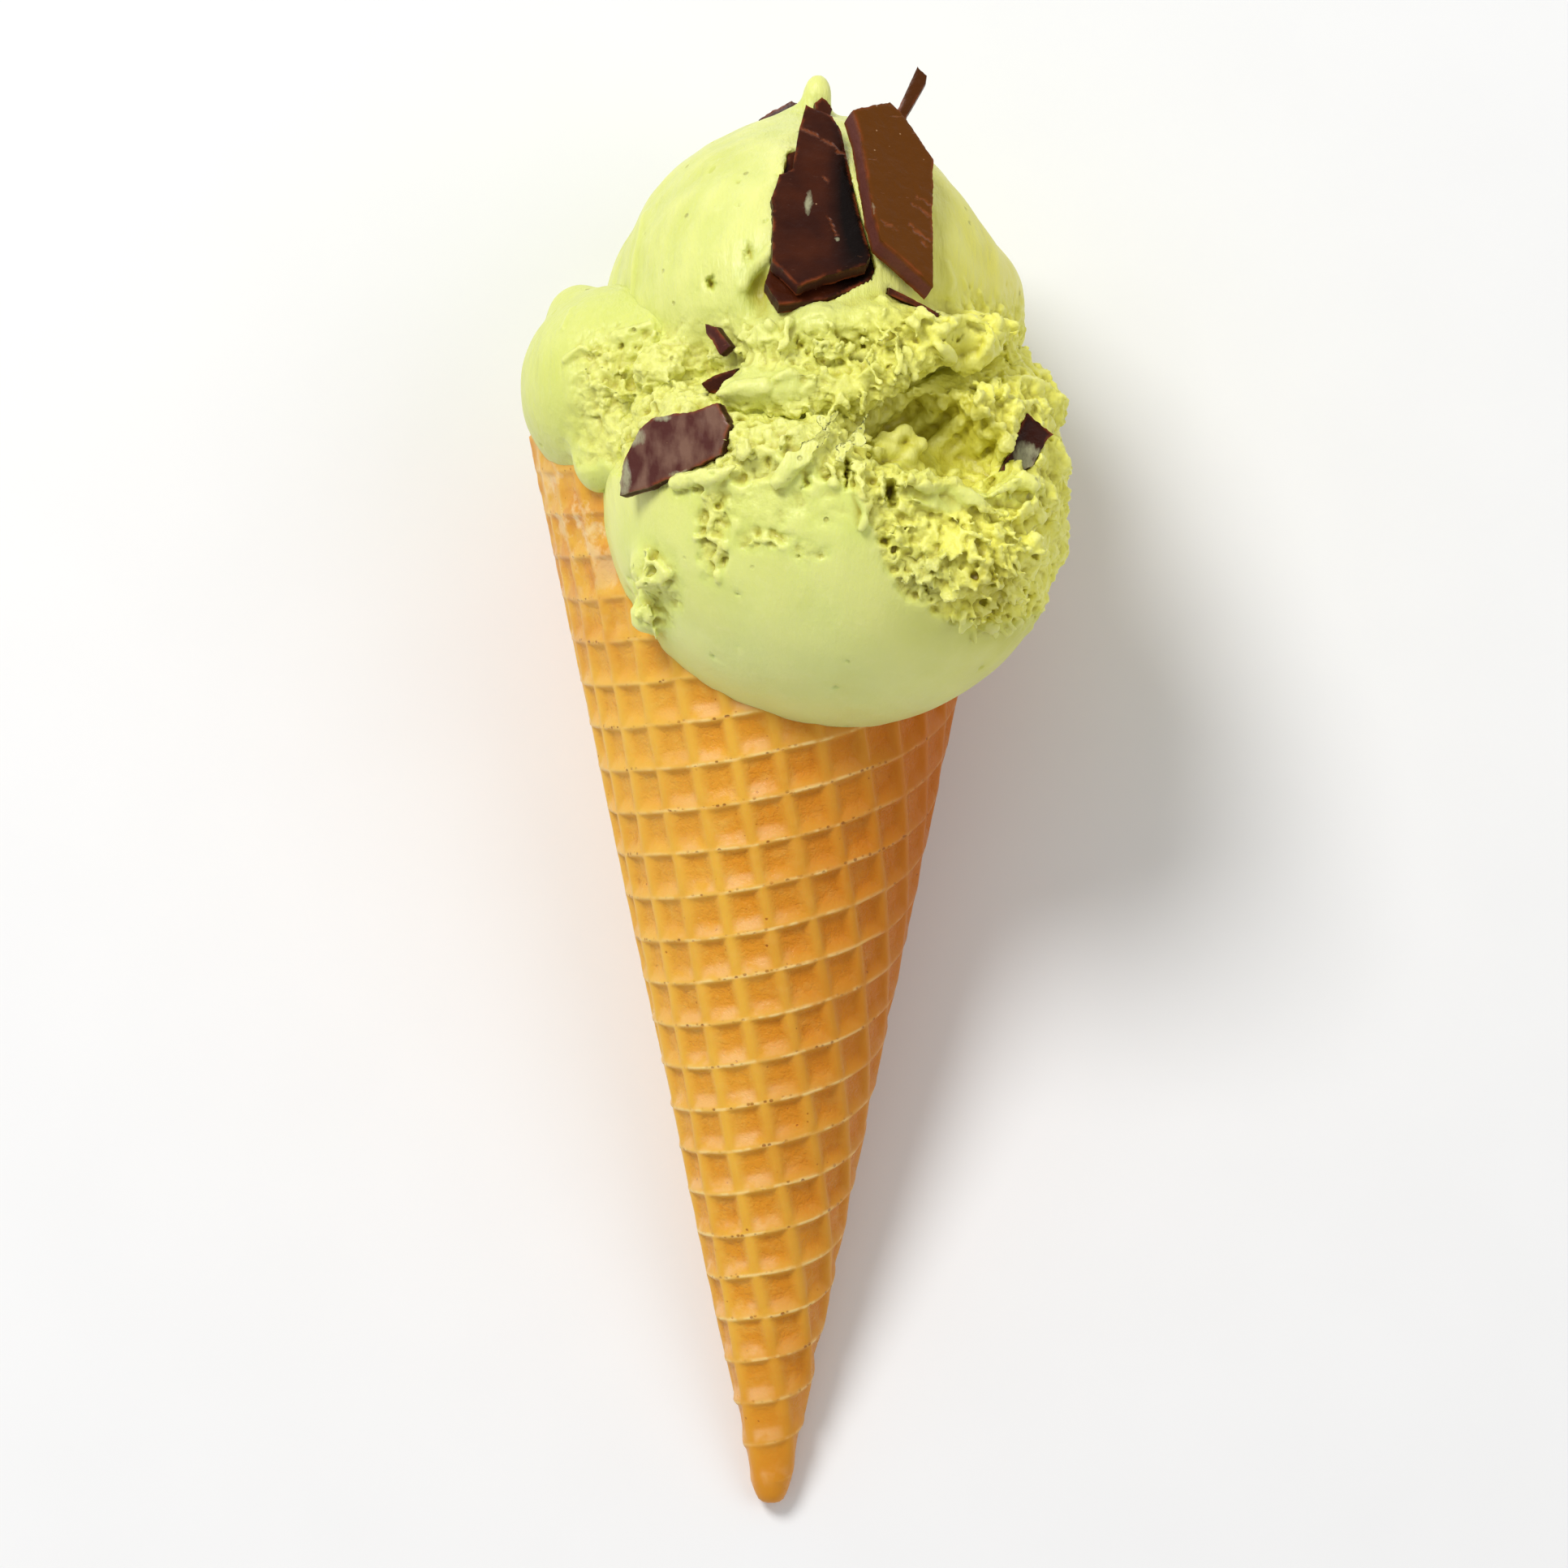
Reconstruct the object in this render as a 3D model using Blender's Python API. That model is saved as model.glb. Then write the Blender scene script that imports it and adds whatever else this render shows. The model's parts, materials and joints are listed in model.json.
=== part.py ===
"""Pistachio ice cream in a rolled waffle cone, with shards of dark chocolate.

The cone is modelled upright: its tip at the origin, its axis along +Z, the side that shows
along -Y. The empty laid_down then lays it on its back along +Y, so that the side that shows
looks up and the back of the cone and a flat of the ice cream rest on Z = 0.
Metres throughout, apart from the outlines and blobs, which are listed in millimetres.
"""

import math

import bmesh
import bpy
import numpy as np
from mathutils import Vector, noise

MM = 0.001

# Waffle cone: a disc sector of baked wafer, rolled while hot and pressed to a blunt tip.
CONE_LENGTH = 0.1396
TIP_RADIUS = 0.0020
CONE_SLOPE = 0.2125
WAFER_WALL = 0.0022
CELL_PITCH = 0.00561
POCKET_DEPTH = 0.0009
POCKET_FLOOR = 0.55
SCRAP_AREA = 0.3
PRESSED_FROM_TIP = 0.012
FAINTEST_PRESS = 0.25
SOFT_RIM_HEIGHT = 0.118
SOFT_RIM_DEPTH = 0.55
GRID_SHIFT_ACROSS = 0.0007
GRID_SHIFT_ALONG = 0.00085
GRID_STRAIGHT_AT = math.radians(34)
SEAM_ANGLE = math.radians(225)
SEAM_CLIMB = math.radians(32)
SEAM_STEP = 0.0012
SEAM_TAPER_SLANT = 0.060
GRID_START_HEIGHT = 0.0100
FINE_GRID_SLANT = 0.043
TIP_PROFILE = ((0.0, 0.0), (0.2, 1.15), (0.6, 1.65), (1.3, 2.02), (2.8, 2.5), (6.0, 3.2))
TIP_SIDES = 16
RIM_SIDES = 48
RIM_DIP = 0.0002
SHARP_EDGE = math.radians(25)
HOLLOW_FLOOR_HEIGHT = 0.0130
HOLLOW_FLOOR_RADIUS = 0.0022

# Clearance between pieces that touch, and how much slimmer the filling is than the hollow.
GAP = 0.0003
FILLING_GAP = 0.00045
FILLING_TOP = 0.1386
FILLING_SHOULDER = (0.020, 0.1430)
FILLING_CROWN = 0.1455

# The height from which ice cream can reach the wafer's wall, and the sides of the cut there.
REACHED_FROM = 0.085
REACHED_SIDES = 64

# Where the laid cone stands: the middle of its outline over the origin, its length along +Y.
LAID_X = -0.0035
LAID_Y = -0.0906

HALF_ANGLE = math.atan(CONE_SLOPE)
SIN_HALF = math.sin(HALF_ANGLE)
COS_HALF = math.cos(HALF_ANGLE)
APEX_BELOW_TIP = TIP_RADIUS / CONE_SLOPE

# Blobs of ice cream, each a middle (x, y, z) and three radii, in millimetres upright.
FRONT_SCOOP = (
    (8.6, -17.5, 131.0, 30.3, 30.3, 30.3),
    (31.4, -21.0, 142.5, 6.0, 7.0, 6.5),
    (-2.4, -40.5, 132.2, 5.0, 4.0, 4.0),
    (6.1, -43.2, 134.8, 5.0, 4.0, 4.6),
    (14.0, -42.6, 136.6, 4.6, 3.8, 3.8),
    (21.8, -34.0, 122.8, 11.5, 11.5, 9.5),
    (-14.7, -32.0, 120.9, 3.0, 3.0, 3.4),
    (-15.4, -26.6, 115.2, 2.4, 2.6, 2.6),
)
FRONT_HOLLOWS = (
    (20.6, -47.0, 137.2, 10.5, 14.0, 6.5),
    (15.5, -48.5, 130.5, 1.6, 4.0, 2.2),
)
TOP_SCOOP = (
    (5.8, -1.0, 153.8, 27.3, 37.0, 27.4),
    (3.0, 4.0, 150.6, 25.6, 34.0, 22.0),
    (-5.0, 9.0, 144.0, 21.5, 21.5, 10.0),
    (1.8, -6.0, 175.6, 5.2, 5.0, 5.4),
    (4.2, -7.0, 180.4, 3.0, 3.0, 3.4),
    (6.2, -8.0, 184.6, 2.0, 2.1, 2.4),
    (0.5, -36.0, 148.6, 4.6, 5.0, 3.8),
    (7.0, -36.5, 150.2, 5.0, 5.4, 3.8),
    (13.6, -36.2, 150.6, 5.0, 5.4, 3.8),
    (19.4, -34.6, 149.8, 4.6, 5.6, 3.8),
    (25.4, -30.6, 149.7, 4.6, 6.0, 3.8),
    (29.4, -23.0, 149.0, 3.4, 5.0, 4.0),
    (3.6, -36.0, 142.4, 9.0, 8.0, 5.0),
    (-3.2, -37.6, 142.2, 4.0, 4.4, 2.8),
    (-13.0, -26.0, 146.0, 5.0, 6.0, 4.5),
)
TOP_HOLLOWS = (
    (20.4, -42.0, 141.0, 10.0, 11.0, 5.4),
    (-1.4, -37.0, 155.6, 1.6, 3.4, 3.0),
    (-6.2, -37.5, 147.4, 2.4, 4.0, 2.6),
)
LEFT_SCOOP = (
    (-18.3, -10.0, 144.8, 14.4, 17.0, 13.8),
    (-24.2, -6.0, 154.6, 4.8, 6.0, 4.4),
    (-14.0, -20.0, 149.0, 6.0, 7.0, 6.0),
)
LEFT_HOLLOWS = ()

# Points over a whole sphere for each scoop: where it is smooth, and where it is torn.
FRONT_COUNTS = (540, 1850)
TOP_COUNTS = (460, 1900)
LEFT_COUNTS = (260, 900)

# The drawn-out peak of the top scoop, its reach and the points for it.
PEAK = np.array((4.5, -7.0, 183.0))
PEAK_REACH = 7.0
PEAK_COUNT = 5200

# The front scoop's top is pressed to a slope that rises backwards from its crest.
CREST_DEPTH = -0.0460
CREST_HEIGHT = 0.1378
PRESSED_SLOPE = 0.5

# The edge between the smooth bowl of the front scoop and its ragged top, across and up.
RAGGED_EDGE_ACROSS = (-20.0, -7.0, -1.1, 2.9, 4.9, 9.7, 13.5, 15.9, 20.7, 26.5, 34.0)
RAGGED_EDGE_HEIGHT = (121.0, 118.0, 118.3, 122.1, 125.0, 127.1, 122.7, 117.1, 114.2, 112.4, 113.5)
RAGGED_EDGE_WIDTH = 2.0

# The top scoop is smooth above this height, which rises to the right; the fades are widths.
SMOOTH_TOP = 158.0
SMOOTH_TOP_BEND = 6.0
SMOOTH_TOP_RISE = 0.8
SMOOTH_TOP_FADE = 6.0
TORN_BACK = 6.0
TORN_BACK_FADE = 14.0
TORN_LEFT = -27.0
TORN_LEFT_FADE = 5.0

BLEND = 0.0030
RAGGED_RELIEF = 0.0019
SMOOTH_RELIEF = 0.0002
CRAG_SIZE = 3.2
CHIP_SIZE = 1.4
CHIP_SHARE = 0.6
LUMP_SIZE = 8.0
LUMP_SHARE = 0.8

# How far from a scoop's middle its surface is looked for, and in what steps.
NEAREST, FURTHEST, REACH_STEP = 0.002, 0.048, 0.0004

# Shards: middle upright, outline as it shows from the front about that middle, thickness,
# how far the plate leans back and how far it turns to the right, all in mm and degrees.
SHARDS = {
    "chocolate_shard_large": (
        (6.2, -32.0, 167.8),
        (
            (-1.7, 12.3), (1.6, 10.8), (2.7, 8.9), (3.5, 4.8), (5.0, -2.7), (6.3, -8.1),
            (5.8, -9.2), (0.2, -11.0), (-2.8, -12.2), (-4.5, -10.3), (-6.0, -9.0),
            (-5.9, -3.5), (-6.1, -0.4), (-5.1, 2.7), (-3.4, 3.5), (-2.6, 8.9),
        ),
        2.0, 36.0, 8.0,
    ),
    "chocolate_shard_under_large": (
        (6.2, -30.1, 166.4),
        (
            (-5.1, -13.0), (-6.9, -10.2), (-6.1, -7.5), (-5.4, 0.1), (-4.0, 7.3),
            (-1.0, 8.6), (3.0, 4.6), (5.9, -5.0), (6.9, -8.2), (6.4, -9.6), (1.0, -12.2),
        ),
        1.9, 36.0, 8.0,
    ),
    "chocolate_shard_right": (
        (15.9, -33.4, 168.2),
        (
            (-5.5, 10.6), (-0.8, 12.0), (0.6, 10.7), (4.7, 4.5), (4.5, -1.9), (4.4, -12.6),
            (3.0, -11.2), (-2.1, -6.7), (-3.0, -3.2), (-4.6, 7.4),
        ),
        3.0, 30.0, 27.0,
    ),
    "chocolate_stick": (
        (16.7, -12.0, 179.0),
        ((2.2, 7.3), (3.4, 6.2), (3.3, 5.2), (0.6, 0.4), (-2.6, -6.6), (-4.2, -5.6), (-0.9, 0.6)),
        2.0, 4.0, 0.0,
    ),
    "chocolate_shard_back": (
        (1.6, 4.5, 180.6),
        ((-3.4, 0.6), (-1.5, 1.9), (1.1, 3.1), (3.7, 2.1), (2.7, -3.7), (-1.6, -3.2)),
        1.8, 8.0, -10.0,
    ),
    "chocolate_chip_peak": (
        (6.9, -10.6, 181.3),
        ((-1.2, 0.5), (-0.3, 1.2), (0.5, 0.7), (1.1, -0.4), (0.4, -2.2), (-1.0, -1.6)),
        1.8, 12.0, 10.0,
    ),
    "chocolate_shard_notch": (
        (-6.6, -35.2, 149.6),
        ((-1.6, 1.9), (-0.2, 1.4), (1.6, -1.1), (0.3, -2.2), (-0.6, -0.6), (-1.5, 0.7)),
        1.6, 6.0, -34.0,
    ),
    "chocolate_shard_under_lobe": (
        (-6.6, -35.4, 144.2),
        ((-2.1, -0.3), (-0.8, 0.6), (2.3, 1.5), (1.9, -0.4), (0.2, -1.6), (-1.2, -1.5)),
        1.6, -8.0, -22.0,
    ),
    "chocolate_shard_left": (
        (-12.0, -40.0, 135.5),
        (
            (5.4, 5.6), (6.9, 2.7), (5.8, -0.9), (1.7, -2.8), (-3.1, -4.7), (-6.8, -5.7),
            (-6.8, -4.0), (-6.4, -1.4), (-4.4, 2.7), (-2.6, 4.1), (2.7, 4.7),
        ),
        2.0, 6.0, -30.0,
    ),
    "chocolate_shard_cavity": (
        (32.6, -34.0, 136.6),
        (
            (-1.8, 1.4), (-0.4, 3.8), (0.9, 2.7), (2.9, 1.1), (2.2, 0.6), (0.3, -2.9),
            (-1.9, -4.1), (-3.8, -3.5),
        ),
        1.8, 10.0, 16.0,
    ),
    "chocolate_shard_edge": (
        (17.9, -36.6, 153.4),
        ((-3.3, 1.6), (-3.1, 2.4), (0.2, 0.9), (3.2, -0.9), (3.0, -1.6), (0.0, 0.1)),
        6.0, 2.0, 6.0,
    ),
}
SHARD_BEVEL = 0.00022
SHARD_BEVEL_ANGLE = math.radians(50)

# Pieces that stick out of the ice cream; the others show because it lies open before them.
STICKING_OUT = ("chocolate_stick", "chocolate_shard_back", "chocolate_chip_peak")
OPEN_BEFORE = 0.005


def clear_scene():
    for obj in list(bpy.data.objects):
        bpy.data.objects.remove(obj, do_unlink=True)


def principled(name, colour, roughness):
    """A plain food material; none of these is metallic."""
    material = bpy.data.materials.new(name)
    material.use_nodes = True
    shader = material.node_tree.nodes["Principled BSDF"]
    shader.inputs["Base Color"].default_value = (*colour, 1.0)
    shader.inputs["Roughness"].default_value = roughness
    shader.inputs["Metallic"].default_value = 0.0
    material.diffuse_color = (*colour, 1.0)
    return material


def object_from(name, bm, material, parent, location=(0, 0, 0), rotation=(0, 0, 0)):
    """A named object whose mesh is the given bmesh, placed under the given parent."""
    mesh = bpy.data.meshes.new(name)
    bmesh.ops.recalc_face_normals(bm, faces=bm.faces)
    bm.to_mesh(mesh)
    bm.free()
    if material:
        mesh.materials.append(material)
    obj = bpy.data.objects.new(name, mesh)
    bpy.context.scene.collection.objects.link(obj)
    obj.parent = parent
    obj.location = location
    obj.rotation_euler = rotation
    return obj


def as_cutter(obj):
    obj.hide_render = True
    obj.display_type = "WIRE"
    return obj


def boolean(obj, other, operation):
    modifier = obj.modifiers.new(f"{operation.lower()}_{other.name}", "BOOLEAN")
    modifier.operation = operation
    modifier.solver = "EXACT"
    modifier.object = other


def crest_radius(height):
    """Radius of the waffle's crests at a height above the tip."""
    return TIP_RADIUS + height * CONE_SLOPE


def hollow_radius(height):
    """Radius of the cone's inside at a height above the tip."""
    full = crest_radius(height) - WAFER_WALL / COS_HALF
    rise = (height - HOLLOW_FLOOR_HEIGHT) / (CONE_LENGTH - HOLLOW_FLOOR_HEIGHT)
    rim = crest_radius(CONE_LENGTH) - WAFER_WALL / COS_HALF
    return min(full, HOLLOW_FLOOR_RADIUS + (rim - HOLLOW_FLOOR_RADIUS) * rise)


def point_on_turn(angle, radius, height):
    """A point at an angle measured from the left silhouette through the front."""
    return Vector((-radius * math.cos(angle), -radius * math.sin(angle), height))


def seam_rise(angle):
    """How far the wafer's outer end climbs over its own start, just before the seam."""
    part = (angle - (SEAM_ANGLE - SEAM_CLIMB)) / SEAM_CLIMB
    part = min(max(part, 0.0), 1.0)
    return SEAM_STEP * part * part * (3 - 2 * part)


def rolled(across, along, height):
    """A point of the flat wafer sheet, rolled up: height stands out from the crests."""
    slant = math.hypot(across, along)
    angle = math.atan2(across, along) / SIN_HALF
    taper = min(slant / SEAM_TAPER_SLANT, 1.0)
    out = height + seam_rise(angle) * taper
    radius = slant * SIN_HALF + out * COS_HALF
    return point_on_turn(angle, radius, slant * COS_HALF - APEX_BELOW_TIP - out * SIN_HALF)


def zip_rows(bm, first, second):
    """Triangles between two rows of vertices, both (place, vertex) in rising place."""
    i = j = 0
    while i < len(first) - 1 or j < len(second) - 1:
        step_first = j == len(second) - 1 or (
            i < len(first) - 1 and first[i + 1][0] <= second[j + 1][0]
        )
        corners = [first[i][1], second[j][1]]
        if step_first:
            i += 1
            corners.append(first[i][1])
        else:
            j += 1
            corners.append(second[j][1])
        if len(set(corners)) == 3:
            bm.faces.new(corners)


def ring(bm, radius, height, sides, start):
    """A ring of vertices from the seam round to the seam, as (angle, vertex); it closes on itself."""
    row = []
    for k in range(sides):
        angle = start + math.tau * k / sides
        row.append((angle, bm.verts.new(point_on_turn(angle, radius, height))))
    return row + [(start + math.tau, row[0][1])]


def wafer_lattice(bm):
    """The baked grid of square pockets, rolled up; gives its rim, foot, start and end rows."""
    slant_low = (GRID_START_HEIGHT + APEX_BELOW_TIP) / COS_HALF
    slant_high = (CONE_LENGTH + APEX_BELOW_TIP) / COS_HALF
    turn_low = (SEAM_ANGLE - math.tau) * SIN_HALF
    turn_high = SEAM_ANGLE * SIN_HALF
    grid_turn = GRID_STRAIGHT_AT * SIN_HALF
    corners = {}
    places = {}
    fine = set()

    def corner(i, j):
        """Lattice point (i, j), in half cells, held inside the sector that the sheet is cut to."""
        if (i, j) not in corners:
            x = GRID_SHIFT_ACROSS + i * CELL_PITCH / 2
            y = GRID_SHIFT_ALONG + j * CELL_PITCH / 2
            slant = min(max(math.hypot(x, y), slant_low), slant_high)
            turn = min(max(math.atan2(x, y) + grid_turn, turn_low), turn_high)
            key = (round(slant, 7), round(turn, 6))
            if slant_low < slant < FINE_GRID_SLANT and turn_low < turn < turn_high:
                fine.add((i, j))
            if key not in places:
                flat = (slant * math.sin(turn), slant * math.cos(turn))
                places[key] = (bm.verts.new(rolled(*flat, 0.0)), flat)
            corners[i, j] = key
        return corners[i, j]

    cells_out = int(slant_high / CELL_PITCH) + 1
    for i in range(-2 * cells_out, 2 * cells_out, 2):
        for j in range(0, 2 * cells_out, 2):
            square = [(i, j), (i + 2, j), (i + 2, j + 2), (i, j + 2)]
            keys = []
            for n, point in enumerate(square):
                before = square[n - 1]
                middle = ((before[0] + point[0]) // 2, (before[1] + point[1]) // 2)
                corner(*before)
                keys.append(corner(*point))
                if before in fine and point in fine:
                    keys.insert(-1, corner(*middle))
            keys = [key for n, key in enumerate(keys) if key != keys[n - 1]]
            flats = [places[key][1] for key in keys]
            beyond_an_edge = 1 in (len({key[0] for key in keys}), len({key[1] for key in keys}))
            if beyond_an_edge or len(set(keys)) < 3:
                continue
            press_pocket(bm, [places[key][0] for key in keys], flats)

    loose = [vert for vert in bm.verts if not vert.link_faces]
    used = {key: vert for key, (vert, _) in places.items() if vert.link_faces}
    for vert in loose:
        bm.verts.remove(vert)
    start = [(slant, vert) for (slant, turn), vert in used.items() if turn == round(turn_low, 6)]
    end = [(slant, vert) for (slant, turn), vert in used.items() if turn == round(turn_high, 6)]
    foot = [(turn / SIN_HALF, v) for (slant, turn), v in used.items() if slant == round(slant_low, 7)]
    rim = [(turn / SIN_HALF, v) for (slant, turn), v in used.items() if slant == round(slant_high, 7)]
    return [sorted(row, key=lambda item: item[0]) for row in (rim, foot, start, end)]


def rounded_foot(bm, row):
    """The sheet's lower edge with its long sides split, so that it is as round as the tip."""
    radius = crest_radius(GRID_START_HEIGHT)
    finer = [row[0]]
    for (angle_before, before), (angle, vert) in zip(row, row[1:]):
        pieces = math.ceil((angle - angle_before) / (math.tau / TIP_SIDES))
        for n in range(1, pieces):
            edge = bm.edges.get((before, vert))
            before = bmesh.utils.edge_split(edge, before, 0.5)[1]
            between = angle_before + (angle - angle_before) * n / pieces
            out = seam_rise(between) * GRID_START_HEIGHT / SEAM_TAPER_SLANT
            before.co = point_on_turn(between, radius + out, GRID_START_HEIGHT)
            finer.append((between, before))
        finer.append((angle, vert))
    return finer


def sheet_area(flats):
    """Area of a polygon on the flat sheet."""
    doubled = 0.0
    for (x0, y0), (x1, y1) in zip(flats, flats[1:] + flats[:1]):
        doubled += x0 * y1 - x1 * y0
    return abs(doubled) / 2


def press_pocket(bm, crests, flats):
    """One pocket: sloping walls down to a smaller floor, or a plain face on a cut-off scrap."""
    whole = CELL_PITCH * CELL_PITCH
    if sheet_area(flats) < SCRAP_AREA * whole:
        bm.faces.new(crests)
        return
    middle = [sum(value) / len(flats) for value in zip(*flats)]
    height = math.hypot(*middle) * COS_HALF - APEX_BELOW_TIP
    soft = min(max((height - SOFT_RIM_HEIGHT) / (CONE_LENGTH - SOFT_RIM_HEIGHT), 0.0), 1.0)
    fading = min(max((height - GRID_START_HEIGHT) / PRESSED_FROM_TIP, FAINTEST_PRESS), 1.0)
    depth = POCKET_DEPTH * (1 - (1 - SOFT_RIM_DEPTH) * soft) * fading
    floor = []
    for x, y in flats:
        inner_x = middle[0] + (x - middle[0]) * POCKET_FLOOR
        inner_y = middle[1] + (y - middle[1]) * POCKET_FLOOR
        floor.append(bm.verts.new(rolled(inner_x, inner_y, -depth)))
    bm.faces.new(floor)
    for n in range(len(crests)):
        bm.faces.new((crests[n - 1], crests[n], floor[n], floor[n - 1]))


def make_waffle_cone(material, parent):
    bm = bmesh.new()
    rim, foot, start, end = wafer_lattice(bm)
    seam = SEAM_ANGLE - math.tau

    inside_rim = ring(bm, hollow_radius(CONE_LENGTH), CONE_LENGTH - RIM_DIP, RIM_SIDES, seam)
    inside_foot = ring(bm, HOLLOW_FLOOR_RADIUS, HOLLOW_FLOOR_HEIGHT, TIP_SIDES, seam)
    bottom = bm.verts.new((0, 0, HOLLOW_FLOOR_HEIGHT - MM))
    zip_rows(bm, rim, inside_rim)
    zip_rows(bm, inside_rim, inside_foot)
    zip_rows(bm, inside_foot, [(seam, bottom), (seam + math.tau, bottom)])
    zip_rows(bm, start, end)
    bm.faces.new((start[-1][1], end[-1][1], inside_rim[0][1]))

    foot = rounded_foot(bm, foot)
    above = foot
    for height, radius in reversed(TIP_PROFILE[1:]):
        below = ring(bm, radius * MM, height * MM, TIP_SIDES, seam)
        zip_rows(bm, above, below)
        if above is foot:
            bm.faces.new((start[0][1], end[0][1], below[0][1]))
        above = below
    point = bm.verts.new((0, 0, 0))
    zip_rows(bm, above, [(seam, point), (seam + math.tau, point)])
    bmesh.ops.triangulate(bm, faces=bm.faces, quad_method="SHORT_EDGE")
    cone = object_from("waffle_cone", bm, material, parent)
    cone.data.shade_smooth()
    cone.data.set_sharp_from_angle(angle=SHARP_EDGE)
    return cone


def turned(bm, profile, sides):
    """A closed solid of revolution from a profile of (radius, height), on the axis at both ends."""
    rows = []
    for radius, height in profile:
        if radius == 0:
            vert = bm.verts.new((0, 0, height))
            rows.append([(0.0, vert), (math.tau, vert)])
        else:
            rows.append(ring(bm, radius, height, sides, 0.0))
    for lower, upper in zip(rows, rows[1:]):
        zip_rows(bm, lower, upper)


def make_filling(name, gap, parent):
    """The ice cream inside the cone, with a low dome over the rim."""
    bm = bmesh.new()
    slimmer = FILLING_GAP - gap
    shoulder_radius, shoulder_height = FILLING_SHOULDER
    profile = (
        (0, HOLLOW_FLOOR_HEIGHT + slimmer),
        (HOLLOW_FLOOR_RADIUS - slimmer, HOLLOW_FLOOR_HEIGHT + slimmer),
        (hollow_radius(FILLING_TOP) - slimmer, FILLING_TOP),
        (shoulder_radius + gap, shoulder_height + gap),
        (0, FILLING_CROWN + gap),
    )
    turned(bm, profile, RIM_SIDES)
    return as_cutter(object_from(name, bm, None, parent))


def make_wall_clearance(parent):
    """The wafer's wall with the gap round it, over the height that ice cream can reach."""
    bm = bmesh.new()
    low, high = REACHED_FROM, CONE_LENGTH + GAP
    round_out = 1 / math.cos(math.pi / REACHED_SIDES)
    outer = [(crest_radius(h) + GAP) * round_out for h in (low, high)]
    inner = [hollow_radius(h) - GAP for h in (low, high)]
    rows = [
        ring(bm, outer[0], low, REACHED_SIDES, 0.0),
        ring(bm, outer[1], high, REACHED_SIDES, 0.0),
        ring(bm, inner[1], high, REACHED_SIDES, 0.0),
        ring(bm, inner[0], low, REACHED_SIDES, 0.0),
    ]
    side = math.tau / REACHED_SIDES
    for angle, vert in rows[0][:-1] + rows[1][:-1]:
        over_seam = SEAM_ANGLE - SEAM_CLIMB - side < angle < SEAM_ANGLE + side
        if over_seam:
            rise = max(seam_rise(angle + side), seam_rise(angle)) if angle < SEAM_ANGLE else SEAM_STEP
            vert.co += point_on_turn(angle, rise, 0.0)
    for n in range(len(rows)):
        zip_rows(bm, rows[n - 1], rows[n])
    return as_cutter(object_from("wall_clearance", bm, None, parent))


def ellipsoid_distance(points, blob):
    """Signed distance, near enough, from points to one blob; negative inside."""
    offset = points - np.array(blob[:3]) * MM
    radii = np.array(blob[3:]) * MM
    scaled = np.linalg.norm(offset / radii, axis=-1)
    steep = np.linalg.norm(offset / radii**2, axis=-1) + 1e-9
    return scaled * (scaled - 1) / steep


def soft_min(a, b):
    """The nearer of two surfaces, filleted where they meet."""
    overlap = np.maximum(BLEND - np.abs(a - b), 0)
    return np.minimum(a, b) - overlap**2 / (4 * BLEND)


def scoop_distance(points, blobs, hollows):
    distance = ellipsoid_distance(points, blobs[0])
    if blobs is FRONT_SCOOP:
        limit = CREST_HEIGHT + (points[..., 1] - CREST_DEPTH) * PRESSED_SLOPE
        over = (points[..., 2] - limit) / math.hypot(1, PRESSED_SLOPE)
        distance = -soft_min(-distance, -over)
    for blob in blobs[1:]:
        distance = soft_min(distance, ellipsoid_distance(points, blob))
    for hollow in hollows:
        distance = -soft_min(-distance, ellipsoid_distance(points, hollow))
    return distance


def spread_directions(count):
    """Unit vectors spread evenly over a sphere by the golden angle."""
    n = np.arange(count) + 0.5
    up = 1 - 2 * n / count
    turn = n * math.pi * (3 - math.sqrt(5))
    flat = np.sqrt(1 - up**2)
    return np.stack((flat * np.cos(turn), flat * np.sin(turn), up), axis=1)


def ramp(value, width):
    """0 below zero, 1 above the width, even between."""
    return min(max(value / width, 0.0), 1.0)


def raggedness(point):
    """1 where the ice cream is torn and flaky, 0 on the bowl and the smoothed back."""
    x, y, z = (value / MM for value in point)
    edge = np.interp(x, RAGGED_EDGE_ACROSS, RAGGED_EDGE_HEIGHT)
    smooth_top = SMOOTH_TOP + max(x - SMOOTH_TOP_BEND, 0.0) * SMOOTH_TOP_RISE
    over_bowl = ramp(z - edge, RAGGED_EDGE_WIDTH)
    under_top = ramp(smooth_top - z, SMOOTH_TOP_FADE)
    in_front = ramp(TORN_BACK - y, TORN_BACK_FADE)
    right_of_lobe = ramp(x - TORN_LEFT, TORN_LEFT_FADE)
    return over_bowl * under_top * in_front * right_of_lobe


def relief(point):
    """Height of torn crags and flakes above the even surface."""
    spot = Vector(point) / MM
    crags = noise.noise(spot / CRAG_SIZE) + CHIP_SHARE * noise.noise(spot / CHIP_SIZE)
    lumps = noise.noise(spot / LUMP_SIZE)
    rough = raggedness(point)
    return RAGGED_RELIEF * rough * (crags + LUMP_SHARE * lumps) + SMOOTH_RELIEF * (1 - rough) * lumps


def floor_distance(points):
    """Height over the plane that the laid cone rests on."""
    return (TIP_RADIUS + CONE_SLOPE * points[..., 2] - points[..., 1]) * COS_HALF


def surface_reach(middle, directions, blobs, hollows):
    """How far the outermost surface lies from the middle in each direction."""
    reach = np.arange(NEAREST, FURTHEST, REACH_STEP)
    points = middle + directions[:, None, :] * reach[None, :, None]
    distance = scoop_distance(points, blobs, hollows)
    inside = distance < 0
    last = inside.shape[1] - 1 - np.argmax(inside[:, ::-1], axis=1)
    last = np.minimum(last, len(reach) - 2)
    rows = np.arange(len(directions))
    before, after = distance[rows, last], distance[rows, last + 1]
    return reach[last] + REACH_STEP * before / (before - after)


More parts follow.
